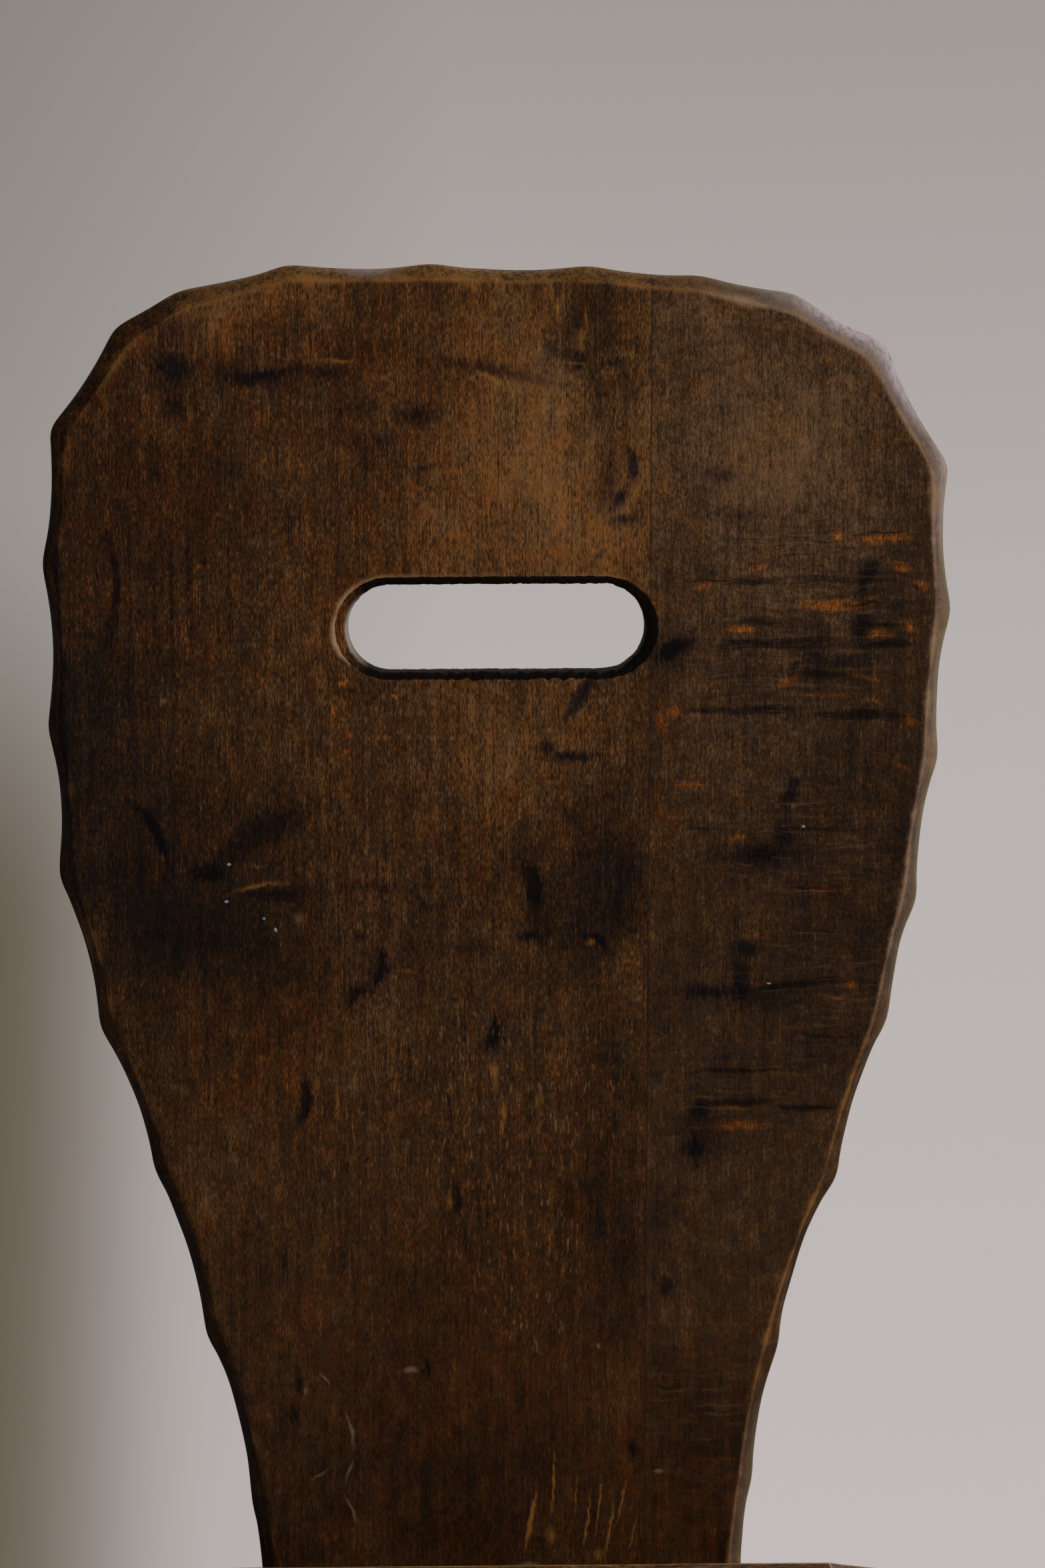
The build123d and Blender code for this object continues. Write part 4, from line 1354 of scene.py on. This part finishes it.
        # Where the left flank is painted in shade.
        "left_flank": (
            (175, 245, 62, 330, 0, 1.6), (110, 60, 50, 260, 0, 1.6), (140, 440, 50, 60, 0, 0.4),
        ),
        # Where the right flank is painted in light.
        "right_flank": (
            (-176, 310, 66, 240, 0, 1.6), (-118, 452, 62, 46, 0, 1.1), (-92, 20, 20, 50, 0, 0.7),
        ),
        # Where the edge gets painted highlights, most at the upper right corner.
        "silvered": (
            (-128, 428, 46, 40, 0, 1.5), (44, 462, 14, 12, 0, 0.5), (-160, 385, 14, 34, 0, 0.8),
        ),
        # Where the crown is painted lighter, lit from above.
        "crown": (
            (20, 470, 150, 34, 0, 1.8),
        ),
        "slot_end": (
            (60, 331, 17, 26, 0, 1.8),
        ),
    }

    def __init__(self, side: int) -> None:
        """Gather each kind of mark for one stave.

        Args:
            side: +1 for the wide stave, -1 for the narrow one.
        """
        self.narrow = side < 0
        self.layers = {}
        stave = "right" if self.narrow else "left"
        for kind, rows in self.places.items():
            marks = [Mark(*row) for row in rows]
            near = [mark for mark in marks
                    if (mark.across + BackBoard.glue_line) * side > -mark.reach() / 2]
            if near:
                self.layers[kind] = mark_layer(f"{kind.replace('_', ' ')} {stave}", near)

    def lay(self, coat: Coat) -> None:
        """Lay all marks, mostly on the rear face.

        Args:
            coat: the coat that they are laid on, before its grain.
        """
        self.coat, self.w, self.place = coat, coat.w, coat.place
        w = self.w
        across, self.up, self.depth = w.add("ShaderNodeSeparateXYZ", {0: self.place}).outputs
        self.rear = w.step(self.depth, 3.0, 1.0)
        self.outer = w.step(self.depth, 2.0, 5.5)
        self.edge, self.hollow, self.grime_and_shade = (w.attribute(name) for name in (EDGE, HOLLOW, GRIME_AND_SHADE))
        self.drift = self.stirred((30, 30, 30), 48, 1)
        self.lay_pools()
        self.lay_edge_tones()
        coat.lay_grain()
        self.lay_edge_colours()
        self.lay_bruises()
        self.lay_figure()
        self.lay_bits()
        self.lay_seam(across)
        self.lay_slot()

    def stirred(self, size: Triple, reach: float, detail: float) -> NodeSocket:
        """The place, pushed about by noise.

        Args:
            size: how large the noise's clouds are, in millimetres each way.
            reach: width of the push, in millimetres.
            detail: how many finer layers the noise has.

        Returns:
            The pushed place.
        """
        w = self.w
        push = w.clouds(self.place, size, detail, 0.6, colour=True)
        push = w.vector("SUBTRACT", push, (0.5, 0.5, 0.5))
        return w.vector("ADD", self.place, w.vector("MULTIPLY", push, (reach, reach, 0)))

    def cover(self, kind: str, where: NodeSocket) -> object:
        """How strongly a point lies under one kind of mark, which this stave may lack."""
        layer = self.layers.get(kind)
        return self.w.effect(layer, Place=where).outputs[0] if layer else 0.0

    def on_rear(self, kind: str, where: NodeSocket) -> NodeSocket:
        """Cover of one kind of mark, on the rear face only."""
        return self.w.times(self.cover(kind, where), self.rear)

    def torn(self, cover: object, fray: NodeSocket, reach: float, low: float,
             high: float) -> NodeSocket:
        """Fray a cover's soft rim by noise, so that it ends in fibres.

        Args:
            cover: the soft cover.
            fray: the noise.
            reach: how far the noise moves the rim.
            low: cover at which the mark starts to show.
            high: cover at which it shows in full.

        Returns:
            The frayed cover.
        """
        w = self.w
        frayed = w.times_plus(fray, reach, w.maths("SUBTRACT", cover, reach / 2))
        return w.step(frayed, low, high)

    def lay_pools(self) -> None:
        """Wide pools of paler and darker tone, darker towards the foot, from uneven stain with painted
        sheen; reddish stain; and a greyish cast, partly stain and partly painted sheen.
        """
        w, coat = self.w, self.coat
        # Paler and darker pools: uneven stain, with painted sheen in the paler ones and darker tone towards
        # the foot.
        coat.shade_tone(self.on_rear("sunned", self.drift), 0.37)
        coat.shade_tone(self.on_rear("shaded", self.drift), -0.34)
        warm = w.times(self.on_rear("reddened", self.drift), -0.35)
        # Greyish cast: partly stain, partly painted sheen of the window.
        grey = w.times(self.on_rear("greyed", self.drift), 0.30)
        coat.cool = w.maths("ADD", w.maths("ADD", grey, warm), coat.finish.cool)
        most = coat.finish.fibre * 1.04
        coat.fibre = w.step(self.up, 60.0, 250.0, most * 0.62, most, straight=True)

    def lay_edge_tones(self) -> None:
        """Painted shade on the left flank of the scalloped edge, and painted light on its right flank and
        on its crown, which is also golden end grain.
        """
        w, coat = self.w, self.coat
        self.left = w.times(self.edge, self.cover("left_flank", self.place), clamp=True)
        self.right = w.times(self.edge, self.cover("right_flank", self.place), clamp=True)
        self.top = w.times(self.edge, self.cover("crown", self.place), clamp=True)
        # Painted shade: the left flank, turned from the window, is made darker. Painted light: the right
        # flank, turned to it, and the crown, lit from above, are made lighter.
        coat.shade_tone(self.left, -0.24)
        coat.shade_tone(self.right, 0.14)
        coat.shade_tone(self.top, 0.10)
        # Darker in patches along the hollows.
        gouged = w.times(self.hollow, w.clouds(self.place, (5, 16, 5), 1, 0.6))
        coat.shade_tone(w.step(gouged, 0.34, 0.62), -0.14)

    def lay_edge_colours(self) -> None:
        """Painted light and shade of the edge: greyish sheen and an olive rim on the right flank, darker
        patches in its hollows, a golden lit crown, a black rim on the left flank and highlights at the
        upper right corner; and how far its arrises are rubbed.
        """
        w, coat = self.w, self.coat
        speckle = w.clouds(self.place, (1.8, 5.5, 1.8), 2, 0.65)
        # Painted sheen: the right flank, facing the window, goes pale and greyish, and olive on its outer
        # part.
        coat.stain(w.times(self.right, 0.75), self.window_sheen_grey, 0.55)
        # Darker patches in the right flank's hollows.
        patches = w.times(w.step(speckle, 0.46, 0.62), self.right)
        coat.stain(w.times(patches, self.hollow), self.hollow_dark, 0.75)
        coat.stain(w.times(self.right, self.outer), self.lit_olive_rim, 0.5)
        # Painted light: the crown, lit from above, goes golden in patches over its end grain.
        coat.stain(w.times(self.top, w.step(speckle, 0.40, 0.6)), self.lit_golden_top, 0.6)
        # Painted shade: the outer part of the left flank, turned from the window, goes nearly black.
        coat.stain(w.times(self.left, self.outer), self.shade_black_rim, 0.8)
        # Painted highlight: pale glints on the edge, most at the upper right corner, broken up along it.
        glint = w.times(self.edge, self.cover("silvered", self.place), clamp=True)
        glint = w.times(glint, w.step(speckle, 0.70, 0.40, 0.55, 1.0))
        glint = w.times(glint, w.step(self.depth, 0.8, 4.0, 0.25, 1.0))
        coat.stain(glint, self.corner_glint_tint, 0.62)
        coat.roughness = w.maths("MAXIMUM", coat.roughness, w.times(self.edge, 0.85))
        coat.roughness = w.maths("MAXIMUM", coat.roughness, self.grime_and_shade)
        # The rubbed arrises show only half as strong on the left flank, under its painted shade.
        less = w.times_plus(self.cover("left_flank", self.place), -0.5, 1.0)
        coat.arris = w.times(coat.arris, less)
        # Painted light: the rubbed arrises of the right flank, facing the window, show paler and pinker.
        pale = w.step(self.cover("right_flank", self.place), 0.1, 0.5)
        coat.bare = w.blend(pale, coat.finish.bare, self.bare_and_lit_right)

    def lay_bruises(self) -> None:
        """Soft dark smears, and ink-dark bruises that are fringed along the fibres; the crescent bruises
        are dents, with the shade of their dark side painted in.
        """
        w = self.w
        fringe = w.clouds(self.place, (0.8, 4.6, 0.8), 2, 0.65)
        ragged = self.stirred((3.2, 6.5, 3.2), 4.0, 2)
        smear = self.torn(self.on_rear("smears", ragged), fringe, 0.7, -0.05, 0.75)
        self.coat.stain(smear, self.smear_tint, 0.95, "MULTIPLY")
        # The crescent bruises also paint the shade along one side of dents.
        bruise = self.torn(self.on_rear("bruises", ragged), fringe, 1.1, 0.0, 0.78)
        self.coat.stain(bruise, self.ink_tint, 0.95, "MULTIPLY")

    def lay_figure(self) -> None:
        """Cross figure of the narrow stave: dark furrows and orange tongues."""
        w, coat = self.w, self.coat
        rippled = self.stirred((14, 14, 14), 4, 1)
        lines = w.clouds(rippled, (9, 0.62, 9), 2, 0.6)
        if self.narrow:
            figured = w.step(self.on_rear("figure", self.drift), 0.0, 0.7)
            waves = w.clouds(rippled, (22, 1.7, 22), 2, 0.65)
            for pattern, low, high, colour, amount in (
                (waves, 0.52, 0.38, self.wave_dark, 0.4),
                (lines, 0.47, 0.37, self.line_dark, 0.4),
                (waves, 0.56, 0.70, self.wave_pale, 0.25),
            ):
                coat.stain(w.times(w.step(pattern, low, high), figured), colour, amount)
        licks = w.clouds(self.place, (2.6, 0.8, 2.6), 2, 0.7)
        self.steady = self.stirred((2.5, 4.0, 2.5), 2.0, 1)
        flames = self.on_rear("flames", self.steady)
        coat.stain(w.step(flames, 0.0, 1.0), self.glow_tint, 1.0, "MULTIPLY")
        coat.stain(self.torn(flames, licks, 1.1, 0.22, 0.80), self.flame_tint, 1.0, "MULTIPLY")
        furrows = self.torn(self.on_rear("furrows", rippled), lines, 1.8, 0.16, 0.85)
        coat.stain(furrows, self.furrow_tint, 0.85, "MULTIPLY")

    def lay_bits(self) -> None:
        """Chips, golden streaks of rubbed wood and painted glints, scratches and specks."""
        w, coat = self.w, self.coat
        strands = w.clouds(self.place, (0.6, 3.4, 0.6), 2, 0.65)
        if not self.narrow:
            chips = w.clouds(self.place, (1.0, 5.0, 1.0), 1, 0.5, 0.5)
            chipped = w.step(self.on_rear("chipped", self.drift), 0.0, 0.6)
            coat.stain(w.times(w.step(chips, 0.62, 0.72), chipped), self.chip_pale, 0.45)
            coat.stain(w.times(w.step(chips, 0.35, 0.27), chipped), self.chip_dark, 0.7)
        # Golden streaks: partly rubbed wood, partly painted glints.
        rubs = self.torn(self.on_rear("rubs", self.steady), strands, 1.1, 0.16, 0.9)
        coat.stain(rubs, self.glint_and_rub_gold, 0.5)
        coat.stain(w.step(self.on_rear("pale_lines", self.steady), 0.1, 0.9), self.scratch_pale, 0.38)
        coat.stain(w.step(self.on_rear("specks", self.place), 0.2, 0.5), self.speck_grey, 0.65)

    def lay_seam(self, across: NodeSocket) -> None:
        """Fine dark line where the two staves are glued.

        Args:
            across: how far across the board a point is.
        """
        w = self.w
        off = w.maths("ADD", across, BackBoard.glue_line)
        off = w.maths("ABSOLUTE", w.times_plus(self.up, sin(radians(BackBoard.glue_tilt)), off))
        seam = w.step(off, 0.5, 0.15)
        self.coat.stain(seam, self.glue_dark, 0.55)
        self.coat.press(seam, 1.2)

    def lay_slot(self) -> None:
        """Slot darkened for grime and painted shade, with a worn left end, a painted reflection on its near
        rim there, and a painted highlight on the worn far rim.
        """
        w, coat = self.w, self.coat
        end = w.maths("MINIMUM", self.cover("slot_end", self.place), 1.0)
        # The slot's walls go nearly black: grime, and painted shade inside the hole; less at the worn left
        # end.
        coat.stain(w.times(self.grime_and_shade, w.maths("SUBTRACT", 1.0, end)), self.grime_and_shade_black, 0.96)
        # Painted reflection of the pale wall on the near rim's rounding at the left end.
        lip = w.times(self.grime_and_shade, end)
        coat.stain(w.times(lip, w.step(self.depth, 0.7, 2.2)), self.lip_reflection, 0.75)
        coat.bare = w.blend(end, coat.bare, self.bare_grip)
        # Painted highlight: the far rim's rubbed wood shows pale grey where it catches the light.
        coat.bare = w.blend(self.grime_and_shade, coat.bare, self.far_rim_worn_highlight)


# ---- other pieces -----------------------------------------------------------------------
@dataclass
class EasedPiece:
    """A piece that keeps its solid's shape, with its arrises eased by wear.

    The easing is its rounding's width. Sides of flat_from square millimetres or more are shaded
    flat. Level edges are eased past the angle level_arris, and creases start at the angle crease.
    """

    node: str
    finish: StainedWood
    easing: float
    seed: int
    flat_from: float = 420.0
    level_arris: float = 36.0
    crease: float = 40.0

    def grain(self) -> Matrix:
        """Frame that the grain follows.

        Returns:
            A frame in the middle of the piece, with Y along its longest side.
        """
        low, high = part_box(self.node)
        span = high - low
        middle = (low + high) / 2
        if span.z > max(span.x, span.y):
            turn = Matrix.Rotation(radians(90), 4, "X")
        elif span.x > span.y:
            turn = Matrix.Rotation(radians(-90), 4, "Z")
        else:
            turn = Matrix.Identity(4)
        return Matrix.Translation(middle) @ turn

    def worn_edge(self, edge: BMEdge) -> bool:
        """Whether wear reaches an edge, as it does not the shallow crease along a hollow."""
        first, second = (vert.co for vert in edge.verts)
        return abs(first.z - second.z) > 0.5 * MM or sharp(edge, self.level_arris)

    def build(self, groups: Effects) -> Object:
        """Make the eased copy in its finish.

        Args:
            groups: the shared effects.

        Returns:
            The piece.
        """
        bm = solid_copy(self.node)
        ease_arrises(bm, self.easing, self.worn_edge)
        shade_by_angle(bm, self.crease)
        flatten_planes(bm, self.flat_from)
        material = self.finish.material(self.grain(), groups, self.seed)
        return finished_piece(f"{self.node}_worn", bm, material, self.finish.slot(), self.node)


# ---- camera, light and ground -----------------------------------------------------------
@dataclass(frozen=True)
class Lamp:
    """A large soft lamp, with its place and the size of its square in metres."""

    name: str
    place: Triple
    size: float
    watts: float
    colour: Triple

    def light(self, target: Vector) -> None:
        """Set the lamp up.

        Args:
            target: where it points, in metres.
        """
        data = bpy.data.lights.new(self.name, "AREA")
        data.shape = "SQUARE"
        data.size = self.size
        data.energy = self.watts
        data.color = self.colour
        lamp = placed(self.name, data)
        lamp.location = self.place
        lamp.rotation_euler = (target - lamp.location).to_track_quat("-Z", "Y").to_euler()


@dataclass
class Studio:
    """Camera behind the chair and below the seat's height, soft light from a window side.

    The camera's places are in millimetres from the back's foot, and its angles in degrees. The
    walls' bands are heights or sides of the way that the camera looks, from -1 to 1.
    """

    lens: float = 100.0
    behind_back: float = 1560.0
    below_seat: float = 78.0
    aside: float = 20.0
    look_up: float = 13.09
    look_aside: float = 1.096
    lean: float = 0.6
    floor_half: float = 9.0
    wall_bright: Colour = hand_tint(194, 187, 186)
    wall_middle: Colour = hand_tint(183, 177, 175)
    wall_top: Colour = hand_tint(161, 153, 150)
    low_wall: tuple[float, float] = (0.05, 0.25)
    high_wall: tuple[float, float] = (0.25, 0.40)
    dimming: Colour = (0.72, 0.715, 0.685, 1.0)
    dim_side: tuple[float, float] = (-0.004, 0.105)
    corner_shade: Colour = (0.37, 0.325, 0.245, 1.0)
    corner_start: tuple[float, float] = (0.052, 0.105)
    corner_end: tuple[float, float] = (0.34, 0.16)
    corner_top: tuple[float, float] = (0.30, 0.19)
    ambient: Colour = (0.96, 0.97, 1.0, 1.0)
    ambient_strength: float = 0.32
    floor_dark: Colour = hand_tint(186, 180, 176)
    floor_pale: Colour = hand_tint(196, 190, 186)
    floor_roughness: float = 0.7
    target: Triple = (0.0, 0.1, 0.6)
    lamps: tuple[Lamp, ...] = (
        Lamp("window", (-2.3, 0.9, 1.5), 1.7, 78.0, (0.94, 0.97, 1.0)),
        Lamp("fill", (0.5, 3.2, 1.2), 2.2, 36.0, (1.0, 0.97, 0.93)),
        Lamp("sky", (-0.3, -0.8, 2.8), 2.4, 60.0, (1.0, 0.99, 0.97)),
    )

    def camera(self, back: BackBoard) -> None:
        """Set the camera.

        Args:
            back: the back board, by whose foot it stands.
        """
        foot = back.plane.to_translation()
        pitch, yaw, roll = (radians(angle) for angle in (self.look_up, self.look_aside, -self.lean))
        ahead = Vector((-sin(yaw) * cos(pitch), -cos(yaw) * cos(pitch), sin(pitch)))
        right = ahead.cross(Vector((0, 0, 1))).normalized()
        up = right.cross(ahead)
        turned_right = right * cos(roll) + up * sin(roll)
        turned_up = up * cos(roll) - right * sin(roll)
        data = bpy.data.cameras.new("camera")
        data.lens = self.lens
        data.sensor_width = 36.0
        camera = placed("camera", data)
        matrix = Matrix((turned_right, turned_up, -ahead)).transposed().to_4x4()
        matrix.translation = foot + Vector((self.aside, self.behind_back, -self.below_seat)) * MM
        camera.matrix_world = matrix
        bpy.context.scene.camera = camera
        log.info("camera at %s", tuple(round(value, 3) for value in matrix.translation))

    def lights(self) -> None:
        """A window at the chair's right, a weak fill behind the camera and a soft sky."""
        for lamp in self.lamps:
            lamp.light(Vector(self.target))

    def world(self) -> None:
        """Pale wall all round for what looks at it, painted with light and shade: darker towards its top
        and its left, with a soft painted shadow low at the left; and an even soft light for the rest.
        """
        world = bpy.data.worlds.new("room")
        bpy.context.scene.world = world
        w = bare_wiring(world)
        look = w.add("ShaderNodeTexCoord").outputs["Generated"]
        parts = w.add("ShaderNodeSeparateXYZ", {0: look})
        side, height = parts.outputs[0], parts.outputs[2]
        # Painted light: the wall is brightest low down and darker towards its top.
        wall = w.blend(w.step(height, *self.low_wall, straight=True), self.wall_bright, self.wall_middle)
        wall = w.blend(w.step(height, *self.high_wall, straight=True), wall, self.wall_top)
        # Painted shade: the wall darkens towards its left, away from the window.
        dim = w.step(side, *self.dim_side, straight=True)
        wall = w.blend(dim, wall, self.dimming, "MULTIPLY")
        # Painted shadow: a soft dark patch low at the left.
        corner = w.times(w.step(side, *self.corner_start), w.step(side, *self.corner_end))
        corner = w.times(corner, w.step(height, *self.corner_top))
        wall = w.blend(corner, wall, self.corner_shade, "MULTIPLY")
        path = w.add("ShaderNodeLightPath").outputs
        seen = w.maths("MAXIMUM", path["Is Camera Ray"], path["Is Glossy Ray"])
        seen = w.maths("MAXIMUM", seen, path["Is Transmission Ray"])
        shown = w.add("ShaderNodeBackground", {"Color": wall, "Strength": 1.0})
        feeds = {"Color": self.ambient, "Strength": self.ambient_strength}
        ambient = w.add("ShaderNodeBackground", feeds)
        mix = w.add("ShaderNodeMixShader", {0: seen, 1: ambient.outputs[0], 2: shown.outputs[0]})
        out = w.add("ShaderNodeOutputWorld")
        w.tree.links.new(mix.outputs[0], out.inputs[0])

    def floor(self) -> None:
        """Plain pale floor."""
        bm = bmesh.new()
        bmesh.ops.create_grid(bm, x_segments=1, y_segments=1, size=self.floor_half)
        mesh = finished_mesh("floor", bm)
        material = bpy.data.materials.new("pale floor")
        material.use_nodes = True
        w = Wiring(material.node_tree)
        shader = material.node_tree.nodes["Principled BSDF"]
        spot = w.add("ShaderNodeTexCoord").outputs["Object"]
        soft = w.add("ShaderNodeTexNoise", {"Vector": spot, "Scale": 3.0, "Detail": 4.0}).outputs[0]
        tint = w.blend(soft, self.floor_dark, self.floor_pale)
        w.tree.links.new(tint, shader.inputs["Base Color"])
        shader.inputs["Roughness"].default_value = self.floor_roughness
        mesh.materials.append(material)
        placed("floor", mesh)

    def build(self, back: BackBoard) -> None:
        """Set up everything round the chair.

        Args:
            back: the back board.
        """
        self.camera(back)
        self.lights()
        self.world()
        self.floor()
        bpy.context.scene.view_settings.view_transform = "Standard"


# ---- the chair --------------------------------------------------------------------------
@dataclass
class Chair:
    """The whole chair, piece by piece."""

    back: BackBoard = field(default_factory=BackBoard)

    def build_back(self, groups: Effects) -> None:
        """Shape and finish both staves of the back.

        Args:
            groups: the shared effects.
        """
        grain = self.back.plane
        staves = (("back_stave_wide", BACK_WOOD, 1), ("back_stave_narrow", CURLY_BACK_WOOD, -1))
        for seed, (node, finish, side) in enumerate(staves):
            bm = self.back.stave(node, side)
            material = finish.material(grain, groups, seed * 5.0, BackMarks(side).lay)
            finished_piece(f"{node}_worn", bm, material, finish.slot(), node)

    def build_rest(self, groups: Effects) -> None:
        """Ease and finish the seat, battens, keys, legs and wedges.

        Args:
            groups: the shared effects.
        """
        rows = enumerate(("front", "middle", "rear"), start=1)
        pieces = [EasedPiece(f"seat_stave_{row}", SEAT_WOOD, 1.0, seed) for seed, row in rows]
        for seed, side in enumerate(("left", "right"), start=1):
            pieces += [EasedPiece(f"batten_{side}", BATTEN_WOOD, 1.0, seed + 3),
                       EasedPiece(f"back_key_{side}", BATTEN_WOOD, 0.8, seed + 6)]
            for end in ("front", "rear"):
                pieces += [EasedPiece(f"leg_{end}_{side}", LEG_WOOD, 1.0, seed + 9),
                           EasedPiece(f"leg_wedge_{end}_{side}", WEDGE_WOOD, 0.15, seed + 12)]
        for piece in pieces:
            piece.build(groups)


def main() -> None:
    """Build the camera, the light and the chair."""
    logging.basicConfig(level=logging.INFO, format="%(name)s: %(message)s")
    chair = Chair()
    Studio().build(chair.back)
    groups = Effects()
    chair.build_back(groups)
    chair.build_rest(groups)


if __name__ == "__main__":
    main()
